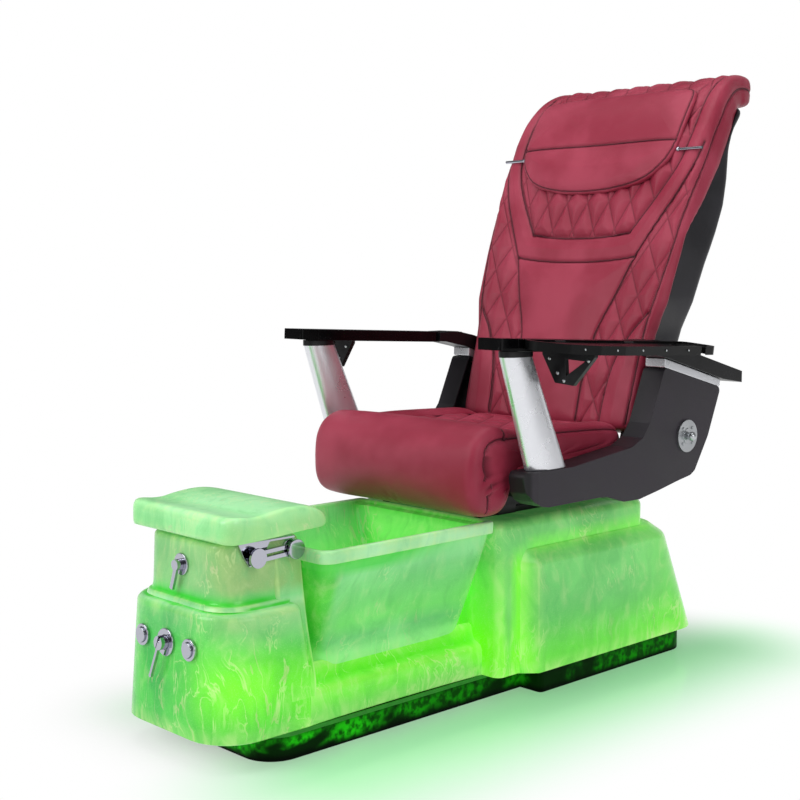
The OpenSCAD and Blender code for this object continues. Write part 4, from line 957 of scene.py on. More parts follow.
@dataclass
class Housing:
    """Rear housing: an upright core in a wider bevelled lower part."""

    core_half: float = 235.0
    core_y: Pair = (-8.0, 529.0)
    core_top: float = 412.0
    wide_half: float = 268.0
    wide_y: Pair = (61.0, 731.5)
    wide_top: float = 345.0
    rear_lean: float = 121.0
    bevel: float = 34.0
    bottom: float = 60.0
    ledge: tuple[Pair, ...] = (
        (-34, 0.6), (-28, 2.6), (-8, 18), (-4.5, 20.5), (-2.4, 23), (-1.5, 27), (1, 30), (3, 34), (3.2, 44)
    )

    def built(self, at: Callable[[float, float], Ring], walls: Sequence[float], above: list[Ring]) -> Skin:
        """Skins a part from its turned-in foot over its walls to the rings above."""
        foot = [at(self.bottom + rise, inset) for rise, inset in ((8, 8), (0, 5), (2, 0))]
        return lofted(dense([*foot, *(at(z, 0) for z in walls), *above], 20), (False, True))

    def core(self) -> Skin:
        """The upright part under the seat."""

        def at(z: float, inset: float) -> Ring:
            return plan_ring(z, self.core_half - inset, self.core_y[0] + inset, self.core_y[1] - inset, 20, 30)

        edge = self.core_top - 20
        above = [at(edge + 20 * math.sin(a), 20 * (1 - math.cos(a))) for a in np.radians([15, 30, 45, 60, 75, 90])]
        return self.built(at, np.linspace(80, edge, 22), [*above, at(self.core_top, 60)])

    def wide(self) -> Skin:
        """The wider part with its bevelled front, drafted sides and sloped rear."""

        def at(z: float, inset: float, edge: float = 9.0) -> Ring:
            rise = (z - self.bottom) / (self.wide_top - self.bottom)
            half, inner = self.wide_half - 7 * rise - inset, self.core_half - 3
            y0, y1 = self.wide_y[0] + inset * 0.4, self.wide_y[1] - self.rear_lean * rise - inset
            shoulder = y0 + self.bevel
            points = [(-inner, y0), (inner, y0), (half, shoulder), (half, y1), (-half, y1), (-half, shoulder)]
            return rounded(points, [2, 2, edge, 78, 78, edge], [20, 3, 34, 24, 34, 3], z)

        above = [at(self.wide_top + rise, inset, 12) for rise, inset in self.ledge]
        return self.built(at, np.linspace(80, self.wide_top - 40, 20), above)

    def make(self, chair: Chair) -> Piece:
        """Builds both parts in place of the CAD node."""
        obj = mesh_object("housing_shell", joined(self.core(), self.wide()), 42)

        # painted glow from the light inside the housing
        def glow(x: np.ndarray, y: np.ndarray, z: np.ndarray) -> np.ndarray:
            # painted glow along the crease between the core and the wide part
            crease = fade(y - 58, 26) * smooth_step(z, 372, 300) * smooth_step(np.abs(x), 200, 232)
            front = smooth_step(y, 28, 0) * smooth_step(z, 400, 180)
            ledge = fade(z - 350, 18) * smooth_step(y, 60, 120)
            low, rear = smooth_step(z, 210, 70), smooth_step(y, 380, 640)
            return 0.75 * crease + 0.6 * front + 0.45 * ledge + 0.42 * low + 0.2 * rear + 0.2

        light_up(obj, glow, lambda x, y, z: 0.3 * smooth_step(z, 60, 240) + 0.1)
        return chair.hang(obj, "rear_housing", Finishes.RESIN, "crystal_shell")


@dataclass
class Footrest:
    """Dished pad on its parallel links beside the column."""

    half: float = 172.0
    y0: float = -697.0
    y1: float = -437.0
    corner: float = 30.0
    edge: float = 10.0
    outline: tuple[Pair, ...] = (
        (-697, 470), (-696.5, 486), (-692, 495.5), (-682, 499), (-664, 498), (-645, 496), (-620, 496), (-597, 499.5),
        (-573, 502.5), (-548, 504.5), (-525, 505), (-507, 504), (-490, 501.5), (-474, 497), (-460, 491), (-449, 484),
        (-441, 476.5), (-437, 469), (-437.5, 462), (-442, 457), (-451, 455), (-466, 454.5), (-490, 454),
        (-523, 452.5), (-561, 450.5), (-600, 448.5), (-650, 447), (-684, 446.5), (-694, 448.5), (-697, 455),
    )
    stations: tuple[float, ...] = (0.0, 0.5, 1.4, 3.0, 5.0, 7.5, 10.5, 14.5, 20.0, 27.0, 36.0, 46.0)

    def make(self, chair: Chair) -> list[Piece]:
        """Builds the pad, and rounds the links and brackets."""
        ring = spline(self.outline, 7, closed=True)
        middle, depth = (self.y0 + self.y1) / 2, (self.y1 - self.y0) / 2
        along = np.roll(ring, -1, axis=0) - np.roll(ring, 1, axis=0)
        share = 0.5 + 0.5 * along[:, 0] / np.linalg.norm(along, axis=1)
        stations = [*self.stations, *np.linspace(58, self.half, 12)]
        rings = []
        for x, near in [(-self.half + d, d) for d in stations] + [(self.half - d, d) for d in stations[-2::-1]]:
            cut, edge = (r - math.sqrt(max(0.0, r**2 - max(0.0, r - near) ** 2)) for r in (self.corner, self.edge))
            y = middle + (ring[:, 0] - middle) * (1 - cut / depth)
            z = ring[:, 1] - edge * share + edge * 0.35 * (1 - share)
            rings.append(np.column_stack([np.full(len(ring), x), y, z]))
        pad = mesh_object("footrest_pad_shell", lofted(rings), 60)
        light_up(
            pad,
            # painted glow, faint and even, on the pad
            lambda x, y, z: 0.08,
            lambda x, y, z: 0.65 + 0.3 * smooth_step(z, 470, 498),
            lambda x, y, z: 0.3 * smooth_step(x, 140, 172) * smooth_step(z, 500, 480),
        )
        chair.hang(pad, "footrest_pad", Finishes.RESIN, "crystal_shell")
        metal = ("footrest_clamps", "link_bars_upper", "link_bars_lower", "footrest_brackets")
        chair.dress("footrest_bumpers", Finishes.RUBBER)
        return [pad, *(chair.softened(node, Finishes.CHROME, "chrome", 1.4) for node in metal)]


@dataclass
class Plinth:
    """Recessed plinth with the light strip round its top."""

    def make(self, chair: Chair) -> Piece:
        """Rounds the plinth and lights the strip."""
        chair.dress("led_strip", Finishes.LIGHT)
        return chair.softened("plinth", Finishes.PLINTH, "plinth_black", 2.5)


@dataclass
class Fittings:
    """Chrome taps, buttons and drain parts, and the jet in the basin."""

    chrome: tuple[str, ...] = (
        "mixer_escutcheon", "drain_escutcheon", "mixer_hub", "mixer_lever", "drain_lever", "button_bezels",
        "drain_fitting", "fill_spout",
    )
    plain: tuple[tuple[str, Finishes], ...] = (
        ("drain_stopper", Finishes.CHROME), ("mixer_cartridge", Finishes.BRASS), ("button_switches", Finishes.SATIN),
        ("jet_housing", Finishes.WHITE), ("jet_impeller", Finishes.SATIN), ("jet_motor", Finishes.SATIN),
        ("seat_rails", Finishes.POWDER), ("slide_screw", Finishes.STEEL),
    )

    def make(self, chair: Chair) -> list[Piece]:
        """Rounds the small fittings."""
        for node, finish in self.plain:
            chair.dress(node, finish)
        rounds = [(node, 1.6) for node in self.chrome] + [("button_left", 1.2), ("button_right", 1.2)]
        return [chair.softened(node, Finishes.CHROME, "chrome", width, 4) for node, width in rounds]


# --------------------------------------------------------------- upholstery


@dataclass
class Seam:
    """A sewn line on a cover, given near the surface in millimetres."""

    line: np.ndarray
    depth: float = 4.5
    width: float = 5.0
    stitched: tuple[float, ...] = ()


@dataclass
class Quilt:
    """Diamond stitching over part of a cover."""

    width: float
    height: float
    origin: Pair
    inside: Callable[[np.ndarray, np.ndarray], np.ndarray]
    puff: float

    def phases(self, u: np.ndarray, v: np.ndarray) -> tuple[np.ndarray, np.ndarray]:
        """Positions across both sets of stitched lines, whole on a line, at chart coordinates."""
        a, b = (u - self.origin[0]) / self.width, (v - self.origin[1]) / self.height
        return a + b, a - b

    def gap(self, u: np.ndarray, v: np.ndarray) -> np.ndarray:
        """Distance to the nearest stitched line at chart coordinates."""
        first, second = (np.abs(phase - np.round(phase)) for phase in self.phases(u, v))
        return np.minimum(first, second) / math.hypot(1 / self.width, 1 / self.height)


@dataclass
class Upholstery:
    """A stuffed cover: inflated, then drawn in along its seams and quilting."""

    name: str
    obj: Piece
    seams: list[Seam]
    quilts: list[Quilt]
    swell: float
    reach: float

    def by_seams(self) -> np.ndarray:
        """1 at each point that a seam holds, falling off with the distance."""
        return fade(distances(points_of(self.obj), np.vstack([even(seam.line, 4) for seam in self.seams])), 9)

    def inflate(self, held: np.ndarray, pressure: float, cap: float, frames: int) -> None:
        """Blows the cover up as cloth while the held points stay.

        Args:
            held: 1 where the cover is sewn or rests on its board, 0 where free.
            pressure: Pressure of the cloth solver.
            cap: Furthest that a point may move, in millimetres.
            frames: Length of the simulation.
        """
        obj, before = self.obj, points_of(self.obj)
        group = obj.vertex_groups.new(name="held")
        for i, weight in enumerate(held):
            if weight > 0.01:
                group.add([i], float(weight), "REPLACE")
        cloth = obj.modifiers.new("stuffing", "CLOTH")
        cloth.settings.use_pressure = True
        cloth.settings.uniform_pressure_force = pressure
        cloth.settings.effector_weights.gravity = 0.0
        cloth.settings.vertex_group_mass = "held"
        cloth.settings.quality = 5
        cloth.settings.tension_stiffness = 12
        cloth.settings.compression_stiffness = 8
        cloth.settings.bending_stiffness = 1.5
        cloth.settings.air_damping = 2.0
        cloth.collision_settings.use_collision = False
        scene = bpy.context.scene
        for frame in range(1, frames + 1):
            scene.frame_set(frame)
        apply_modifiers(obj)
        scene.frame_set(1)
        obj.vertex_groups.clear()
        move = points_of(obj) - before
        far = np.linalg.norm(move, axis=1)
        move_points(obj, before + move * (np.minimum(far, cap) / np.maximum(far, 1e-6))[:, None])

    def settle(self, line: np.ndarray) -> np.ndarray:
        """Lays a line of points on the cover."""
        tree = tree_of(points_of(self.obj))
        laid = []
        for p in even(line, 3.0):
            found = tree.find_n(p, 6)
            weights = np.array([1 / (distance + 1.0) for _, _, distance in found])
            laid.append((np.array([list(co) for co, _, _ in found]) * weights[:, None]).sum(0) / weights.sum())
        laid = np.array(laid)
        for _ in range(2):
            laid[1:-1] = (laid[:-2] + 2 * laid[1:-1] + laid[2:]) / 4
        return laid

    def draw_in(self) -> None:
        """Presses the seams and the quilting into the cover and stores the painted shade of their grooves."""
        u, v = values_of(self.obj, "chart_u"), values_of(self.obj, "chart_v")
        points, normals = points_of(self.obj), normals_of(self.obj)
        push, crease, nearest = (np.full(len(points), value) for value in (0.0, 0.0, 1e9))
        for seam in self.seams:
            seam.line = self.settle(seam.line)
            gap = distances(points, even(seam.line, 1.5)[: len(seam.line) * 2])
            nearest = np.minimum(nearest, gap)
            push -= seam.depth * fade(gap, seam.width)
            # painted shade along each seam's groove
            crease = np.maximum(crease, fade(gap, seam.width * 0.55))
        free = np.where(v > ON_CHART, 1.0, 0.0)
        marks = np.zeros((3, len(points)))
        plain = self.swell * (1 - fade(nearest, self.reach))
        for quilt in self.quilts:
            inside = quilt.inside(u, v) * free
            gap = np.minimum(quilt.gap(u, v), nearest * 0.9)
            puff = quilt.puff * (1 - fade(gap, quilt.width * 0.2)) - 2.2 * fade(gap, 3.2)
            plain = plain * (1 - inside) + (puff - 1.0) * inside
            for k, value in enumerate((*quilt.phases(u, v), np.ones(len(points)))):
                marks[k] = np.where(inside > 0.5, value, marks[k])
        move_points(self.obj, points + normals * (push + plain)[:, None])
        for name, values in zip(("crease", "quilt_p", "quilt_q", "quilt_on"), (np.clip(crease, 0, 1), *marks)):
            point_values(self.obj, name, values)

    def stuff(self, held: np.ndarray, pressure: float = 3.0, cap: float = 9.0, frames: int = 16) -> None:
        """Inflates the cover, makes it finer and sews it."""
        self.inflate(held, pressure, cap, frames)
        finer = self.obj.modifiers.new("finer", "SUBSURF")
        finer.levels = finer.render_levels = 1
        apply_modifiers(self.obj)
        shade(self.obj.data, 180)
        self.draw_in()

    def trim(self, chair: Chair, body: str) -> None:
        """Lays a dark cord in the seams, for their welt and their painted groove shade, and thread beside them."""
        points, normals = points_of(self.obj), normals_of(self.obj)
        tree = tree_of(points)

        def rest_on(line: np.ndarray, lift: float) -> np.ndarray:
            out = []
            for p in line:
                found = tree.find_n(p, 4)
                weights = np.array([1 / (distance + 0.5) for _, _, distance in found])[:, None]
                weights /= weights.sum()
                index = [i for _, i, _ in found]
                out.append((points[index] * weights).sum(0) + (normals[index] * weights).sum(0) * lift)
            out = np.array(out)
            out[1:-1] = (out[:-2] + 2 * out[1:-1] + out[2:]) / 4
            return out

        # dark cord sunk in each seam: partly the welt, partly painted shade in the groove
        cord = tube(f"{self.name}_seam_shade_cord", [rest_on(seam.line, -0.2) for seam in self.seams], 1.5)
        chair.add(cord, body, Finishes.PIPING, "leather")
        threads = []
        for seam in self.seams:
            side = np.gradient(seam.line, axis=0)
            side /= np.linalg.norm(side, axis=1)[:, None] + 1e-9
            for offset in seam.stitched:
                up = np.array([normals[tree.find(p)[1]] for p in seam.line])
                threads.append(rest_on(seam.line + np.cross(side, up) * offset, 0.25))
        if threads:
            chair.add(stitches(f"{self.name}_stitches", threads), body, Finishes.THREAD, "leather")


def charted(name: str, rings: Sequence[Ring], chart: Sequence[np.ndarray]) -> Piece:
    """Closed cover through rings that stores where each point lies on the cloth's chart."""
    obj = linked(name, plain_mesh(name, *lofted(rings)))
    reworked(obj.data, obj.data, lambda work: bmesh.ops.recalc_face_normals(work, faces=work.faces))
    flat = np.vstack([*chart, [[0, OFF_CHART]] * 2])
    point_values(obj, "chart_u", flat[:, 0])
    point_values(obj, "chart_v", flat[:, 1])
    return obj


def drawn(name: str, lines: Sequence[np.ndarray], dress: Callable[[Piece], None]) -> Piece:
    """Mesh of curves along lines in millimetres, once they are given their thickness."""
    curve = bpy.data.curves.new(name, "CURVE")
    curve.dimensions = "3D"
    for line in lines:
        run = curve.splines.new("POLY")
        run.points.add(len(line) - 1)
        run.points.foreach_set("co", np.column_stack([line * MM, np.ones(len(line))]).ravel())
    holder = linked(name, curve)
    dress(holder)
    mesh = evaluated(holder)
    bpy.data.objects.remove(holder)
    bpy.data.curves.remove(curve)
    mesh.shade_smooth()
    return linked(name, mesh)


def tube(name: str, lines: Sequence[np.ndarray], radius: float) -> Piece:
    """Thin round cord along lines, as a mesh."""

    def thicken(holder: Piece) -> None:
        holder.data.bevel_depth = radius * MM
        holder.data.bevel_resolution = 2
        holder.data.use_fill_caps = True

    return drawn(name, lines, thicken)


def beads(name: str, sizes: dict[str, float], cuts: Pair, lay: Callable[[Tree, Sequence[Socket]], Sequence]) -> Tree:
    """Geometry nodes that set a small domed bead on every point and turn it.

    Args:
        name: The group's name.
        sizes: The group's number inputs with their defaults, one of them Radius.
        cuts: Pieces round a bead and from end to end.
        lay: Gives the points, the bead's height and its direction from the group's inputs.

    Returns:
        The group, made once.
    """
    made = bpy.data.node_groups.get(name)
    if made:
        return made
    made = bpy.data.node_groups.new(name, "GeometryNodeTree")
    socket = made.interface.new_socket
    socket("Geometry", in_out="INPUT", socket_type="NodeSocketGeometry")
    for label, value in sizes.items():
        socket(label, in_out="INPUT", socket_type="NodeSocketFloat").default_value = value
    socket("Material", in_out="INPUT", socket_type="NodeSocketMaterial")
    socket("Geometry", in_out="OUTPUT", socket_type="NodeSocketGeometry")
    source = add(made, "NodeGroupInput").node.outputs
    points, height, facing = lay(made, source)
    ball = add(made, "GeometryNodeMeshUVSphere", {"Segments": cuts[0], "Rings": cuts[1], "Radius": 1.0})
    size = add(made, "CombineXYZ", source["Radius"], source["Radius"], height)
    bead = add(made, "GeometryNodeTransform", {"Geometry": ball, "Scale": size})
    turn = add(made, "FunctionNodeAlignRotationToVector", {"Vector": facing}, axis="Z")
    spread = add(made, "GeometryNodeInstanceOnPoints", {"Points": points, "Instance": bead, "Rotation": turn})
    real = add(made, "GeometryNodeRealizeInstances", {"Geometry": spread})
    painted = add(made, "GeometryNodeSetMaterial", {"Geometry": real, "Material": source["Material"]})
    add(made, "NodeGroupOutput", painted)
    return made


def run_nodes(obj: Piece, group: Tree, finish: Finishes, **lengths: float) -> None:
    """Adds a geometry nodes modifier with the finish and with lengths in millimetres."""
    held = obj.modifiers.new(group.name, "NODES")
    held.node_group = group
    names = {item.name: item.identifier for item in group.interface.items_tree if item.in_out == "INPUT"}
    for name, value in lengths.items():
        held[names[name]] = value * MM
    held[names["Material"]] = finish.value.build()


def stitches(name: str, lines: Sequence[np.ndarray]) -> Piece:
    """Runs of thread along lines in millimetres, as one mesh."""

    def lay(tree: Tree, source: Sequence[Socket]) -> tuple[Socket, Socket, Socket]:
        ends = {"Curve": source["Geometry"], "Length": source["Pitch"]}
        run = add(tree, "GeometryNodeResampleCurve", ends, mode="LENGTH")
        return run, add(tree, "Math.MULTIPLY", source["Length"], 0.5), add(tree, "GeometryNodeInputTangent")

    sizes = {"Pitch": 0.0055, "Length": 0.0042, "Radius": 0.00055}
    group = beads("stitch_run", sizes, (6, 5), lay)
    return drawn(name, lines, lambda holder: run_nodes(holder, group, Finishes.THREAD, Pitch=5.5))


@dataclass
class BackLine:
    """The front line of the backrest, from its foot over the top scroll."""

    side: tuple[Pair, ...] = (
        (405, 584), (410, 612), (431, 700), (460, 800), (492, 900), (527, 1000), (564, 1100), (604, 1200), (648, 1295),
        (698, 1374), (750, 1424), (802, 1449), (852, 1453), (895, 1443),
    )
    halves: tuple[Pair, ...] = (
        (584, 268), (612, 275), (780, 278), (825, 283), (893, 302), (1018, 310), (1151, 314), (1256, 316),
        (1364, 312), (1424, 303), (1452, 294),
    )
    laps: tuple[Pair, ...] = (
        (640, 36), (760, 36), (826, 31), (873, 22), (920, 13), (967, 11), (1027, 14), (1075, 27), (1124, 43),
        (1161, 55), (1206, 65), (1249, 74), (1288, 80), (1326, 82), (1370, 80), (1424, 72), (1460, 64), (1560, 62),
    )
    points: np.ndarray = field(init=False)
    run: np.ndarray = field(init=False)
    normal: np.ndarray = field(init=False)
    top: int = field(init=False)

    def __post_init__(self) -> None:
        self.points = spline(self.side, 6.0)
        lengths = np.linalg.norm(np.diff(self.points, axis=0), axis=1)
        self.run = np.concatenate([[0], np.cumsum(lengths)])
        along = np.gradient(self.points, axis=0)
        along /= np.linalg.norm(along, axis=1)[:, None]
        self.normal = np.column_stack([-along[:, 1], along[:, 0]])
        self.top = int(np.argmax(self.points[:, 1]))

    def at_height(self, z: float) -> float:
        """Distance along the line at a height; past the top it counts on along the line."""
        heights, runs = self.points[: self.top + 1, 1], self.run[: self.top + 1]
        return float(np.interp(z, heights, runs)) + max(0.0, z - float(heights[-1]))

    def height(self, s: float) -> float:
        """Height at a distance along the line, counted on past the top."""
        heights, runs = self.points[: self.top + 1, 1], self.run[: self.top + 1]
        return float(np.interp(s, runs, heights)) + max(0.0, s - float(runs[-1]))

    def lap(self, s: float) -> float:
        """Depth behind the line at which the back shell's front edge lies."""
        return read(self.laps, self.height(s))

    def spot(self, x: float, s: float, out: float = 0.0) -> np.ndarray:
        """Point at x and s along the line, out from it along the normal."""
        y, z, ny, nz = (float(np.interp(s, self.run, row)) for row in (*self.points.T, *self.normal.T))
        return np.array([x, y + ny * out, z + nz * out])

    def half(self, s: float) -> float:
        """Half-width of the cushion at s."""
        start = self.run[self.top]
        if s <= start:
            return read(self.halves, self.spot(0, s)[2])
        return read(self.halves, self.points[self.top, 1]) - 4 * (s - start) / (self.run[-1] - start)


@dataclass
class BackCushion:
    """Backrest cover with a collar round a quilted band, and quilted wings."""

    line: BackLine
    thick: float = 62.0
    edge: float = 22.0
    scroll: float = 33.0
    frame_seam: tuple[Pair, ...] = (
        (104, 597), (105, 622), (106, 660), (108, 707), (121, 814), (158, 909), (190, 1000), (233, 1080), (270, 1147),
        (292, 1200), (306, 1250), (314, 1282),
    )
    band_seam: tuple[Pair, ...] = (
        (155, 1061), (180, 1098), (204, 1133), (226, 1170), (243, 1200), (258, 1238), (266, 1290), (268, 1340),
        (265, 1398), (262, 1440), (258, 1480), (256, 1530),
    )
    side_seam: tuple[Pair, ...] = (
        (260, 600), (262, 640), (266, 740), (268, 819), (274, 870), (285, 934), (295, 1010), (302, 1080), (307, 1133),
        (311, 1200), (314, 1262), (312, 1340), (304, 1398), (297, 1440), (292, 1480), (289, 1530),
    )
    side_depth: tuple[Pair, ...] = (
        (640, 0), (1080, 0), (1133, 6), (1200, 16), (1262, 24), (1340, 30), (1440, 32), (1530, 28)
    )
    diagonal: tuple[Pair, ...] = (
        (270, 866), (250, 842), (231, 817), (212, 780), (198, 751), (188, 712), (182, 660), (180, 630), (179, 598)
    )
    collar: tuple[Pair, ...] = ((190, 1001), (150, 996), (94, 991), (0, 988))
    band_foot: tuple[Pair, ...] = ((155, 1061), (110, 1055), (50, 1050), (0, 1049))

    def section(self, s: float) -> np.ndarray:
        """Closed section at s: X, depth behind the line, and both chart coordinates."""
        line, r = self.line, self.edge
        total = line.run[-1]
        close, upper = min(s, total - s), s >= total / 2
        turn = self.scroll if upper else r
        front = turn - math.sqrt(max(0.0, turn * turn - max(0.0, turn - close) ** 2))
        half, lap = line.half(s) - front * 0.5, line.lap(s)
        rear = max(self.thick, lap + 8) - front * (1.05 if upper else 1.3)
        across = np.linspace(r - half, half - r, 97)
        flat = [(x, front - 5 * smooth_step(abs(x) / half, 0.5, 0.8), x, s) for x in across]
        side = []
        for a in np.radians([18, 36, 54, 72, 90]):
            side.append((half - r + r * math.sin(a), front - 5 + (r + 5) * (1 - math.cos(a)), half - r + r * a, s))
        depths = np.linspace(front + r + 4, rear - 7, 5)
        tuck = 13 * smooth_step(depths, lap - 3, lap + 6) * (smooth_step(close, 60, 110) if upper else 1.0)
        side += [(half - inward, depth, half + depth, OFF_CHART) for depth, inward in zip(depths, tuck)]
        side.append((half - 5 - tuck[-1], rear - 2, half + 60, OFF_CHART))
        behind = [(x, rear, x, OFF_CHART) for x in np.linspace(half - 24, 24 - half, 30)]
        return np.array([*flat, *side, *behind, *((-x, depth, -u, v) for x, depth, u, v in side[::-1])])

    def base(self) -> Piece:
        """Closed cover before it is stuffed, with chart coordinates."""
        rings, chart = [], []
        for s in self.line.run:
            rows = self.section(s)
            rings.append(np.array([self.line.spot(x, float(s), -depth) for x, depth in rows[:, :2]]))
            chart.append(rows[:, 2:])
        return charted("back_cushion_cover", rings, chart)

    def on_chart(self, pairs: Sequence[Pair]) -> np.ndarray:
        """Chart coordinates of points given by X and height."""
        return np.array([(x, self.line.at_height(z)) for x, z in pairs])

    def lay(self, pairs: Sequence[Pair], side: int = 1, depths: Sequence[Pair] = ((0, 0),)) -> np.ndarray:
        """Line in space through points given by X and height, behind the front by depths at heights."""
        chart = spline(self.on_chart(pairs), 10)
        return np.array([self.line.spot(side * x, s, -read(depths, self.line.height(s))) for x, s in chart])

    def sewn(self) -> list[Seam]:
        """All seams of the cover."""
        seams = []
        for side in (1, -1):
            frame, band, diagonal = (self.lay(p, side) for p in (self.frame_seam, self.band_seam, self.diagonal))
            edge = Seam(self.lay(self.side_seam, side, self.side_depth), 3.5, 4.0, (5.0, -5.0))
            seams += [Seam(frame), Seam(band), edge, Seam(diagonal)]
        for right in (self.collar, self.band_foot):
            seams.append(Seam(self.lay([(-x, z) for x, z in right] + list(right[-2::-1]))))
        return seams

    def quilting(self) -> list[Quilt]:
        """Diamond stitching in the band, behind the pillow and in the wings."""
        line = self.line
        frame, band, side, diagonal = (
            self.on_chart(pairs)[:, ::-1] for pairs in (self.frame_seam, self.band_seam, self.side_seam, self.diagonal)
        )
        low, high, flat_from = line.at_height(1052), line.at_height(1545), line.at_height(1395)

        def in_band(u: np.ndarray, v: np.ndarray) -> np.ndarray:
            within = (np.abs(u) < read(band, v) - 1) & (v > low) & (v < high)
            return within * (1 - 0.45 * smooth_step(v, flat_from, flat_from + 50))

        def in_wing(u: np.ndarray, v: np.ndarray) -> np.ndarray:
            a = np.abs(u)
            within = (a > read(frame, v) + 1) & (a < read(side, v) - 1) & (a < read(diagonal[::-1], v, right=400))
            return (within & (v < line.at_height(1225))).astype(float)

        return [
            Quilt(67, 146, (8, line.at_height(1138)), in_band, 7.5),
            Quilt(74, 132, (192, line.at_height(967)), in_wing, 5.5),
        ]

    def make(self, chair: Chair) -> Piece:
        """Builds, stuffs and sews the cover in place of its CAD node."""
        obj = self.base()
        cover = Upholstery("back_cushion", obj, self.sewn(), self.quilting(), 5.0, 40.0)
        behind = (values_of(obj, "chart_v") < ON_CHART).astype(float)
        cover.stuff(np.maximum(behind, cover.by_seams()))
        chair.hang(obj, "back_cushion", Finishes.LEATHER, "leather")
        cover.trim(chair, "backrest")
        return obj


@dataclass
class BackShell:
    """Moulded cover of the backrest: a deep tray with rounded corners that laps the cushion's sides."""

    line: BackLine
    wall: float = 4.0
    corner: float = 26.0
    top: float = 1376.0
    rear: tuple[Pair, ...] = (
        (600, 500), (612, 533), (640, 563), (705, 586), (805, 613), (900, 641), (985, 676), (1060, 714), (1126, 741),
        (1190, 752), (1250, 755), (1296, 760), (1320, 774), (1336, 794), (1350, 808), (1362, 812), (1373, 805),
        (1376, 796),
    )

    def front_edge(self) -> np.ndarray:
        """Height and Y of the front edge, behind the cushion's front line."""
        runs = np.arange(0, self.line.at_height(1440), 8.0)
        edge = np.array([self.line.spot(0, s, -self.line.lap(s))[:0:-1] for s in map(float, runs)])
        return edge[np.concatenate([[True], np.diff(np.maximum.accumulate(edge[:, 0])) > 0.5])]

    def section(self, z: float, inset: float) -> Ring:
        """Open outline across the shell at a height, from its left front edge to the right one."""
        y1 = read(self.rear, z) - inset
        y0 = min(read(self.front_edge(), z), y1 - 1)
        near_top = max(0.0, z - (self.top - self.corner))
        pull = self.corner - math.sqrt(max(0.0, self.corner**2 - near_top**2))
        half = self.line.half(self.line.at_height(z)) - 1.5 - inset - pull
        r = min(self.corner - inset, 0.8 * (y1 - y0))
        right = [(half, y) for y in np.linspace(y0, y1 - r, 8)[:-1]]
        right += [(half - r + r * math.cos(a), y1 - r + r * math.sin(a)) for a in np.linspace(0, math.pi / 2, 8)]
        right += [(x, y1 + 5 * (1 - (x / half) ** 2)) for x in np.linspace(half - r, 0, 14)[1:]]
        return np.array([(-x, y, z) for x, y in right] + [(x, y, z) for x, y in right[-2::-1]])

    def make(self, chair: Chair) -> Piece:
        """Builds the shell in place of its CAD node."""
        top = self.top
        levels = np.concatenate([np.linspace(600, 1300, 54), np.linspace(1308, top - 6, 12), [top - 3, top - 1, top]])
        inner = np.minimum(levels, 1300 + (levels - 1300) * 0.94)
        pairs = ((self.section(float(a), 0), self.section(float(b), self.wall)) for a, b in zip(levels, inner))
        obj = mesh_object("back_shell_cover", lofted([np.vstack([a, b[::-1]]) for a, b in pairs]), 50)
        return chair.hang(obj, "back_shell", Finishes.COVER, "shell_black")


@dataclass
class HeadPillow:
    """Boxed head pillow strapped over the top of the backrest."""

    line: BackLine
    thick: float = 25.0
    outline: tuple[Pair, ...] = (
        (0, 1155), (60, 1157), (110, 1164), (160, 1176), (196, 1194), (225, 1222), (241, 1250), (247, 1276),
        (249, 1320), (249, 1362), (244, 1390), (230, 1402), (190, 1406), (90, 1408), (0, 1408),
    )
    low_steps: tuple[Pair, ...] = ((80, 3.6), (30, 3.6), (8, 4.0), (2.5, 6.0), (0, 9), (-1.0, 13.75))
    top_steps: tuple[Pair, ...] = ((0, 5.5), (2.0, 2.2), (6, 0.6), (13, 0), (30, 0), (60, 0), (90, 0))
    seam_height: float = 1277.0

    def level(self, inset: float, out: float) -> Ring:
        """The outline drawn in towards its middle and out from the back line."""
        right = [(x, self.line.at_height(z)) for x, z in self.outline]
        ring = spline(right + [(-x, s) for x, s in right[-2:0:-1]], 9, closed=True)
        middle = np.array([0.0, self.line.at_height(1282)])
        flat = middle + (ring - middle) * (1 - inset / np.linalg.norm(ring - middle, axis=1))[:, None]
        return np.array([self.line.spot(x, s, out) for x, s in flat])

    def base(self) -> Piece:
        """Closed cover of even faces before it is stuffed."""
        steps = [*self.low_steps, *((inset, self.thick - below) for inset, below in self.top_steps)]
        obj = mesh_object("head_pillow_cover", lofted([self.level(*step) for step in steps]))
        even_out = obj.modifiers.new("even", "REMESH")
        even_out.mode = "VOXEL"
        even_out.voxel_size = 4.6 * MM
        apply_modifiers(obj)
        return obj

    def make(self, chair: Chair) -> Piece:
        """Builds, stuffs and sews the pillow in place of its CAD node."""
        obj = self.base()
        points = points_of(obj)
        point_values(obj, "chart_u", points[:, 0])
        point_values(obj, "chart_v", np.zeros(len(points)))
        upper, lower = (np.vstack([rim, rim[:1]]) for rim in (self.level(4.0, self.thick), self.level(0.0, 7.0)))
        across = self.line.at_height(self.seam_height)
        middle = np.array([self.line.spot(x, across, self.thick) for x in np.linspace(-240, 240, 60)])
        seams = [Seam(upper, 1.6, 3.0, (-3.5,)), Seam(lower, 1.4, 3.0), Seam(middle, 4.6)]
        cover = Upholstery("head_pillow", obj, seams, [], 5.0, 42.0)
        behind = distances(points * np.array([0, 1, 1]), [(0, y, z) for y, z in self.line.points])
        cover.stuff((behind < 7.5).astype(float), 2.0, 5.0, 12)
        chair.hang(obj, "head_pillow", Finishes.LEATHER, "leather")
        cover.trim(chair, "backrest")
        return obj


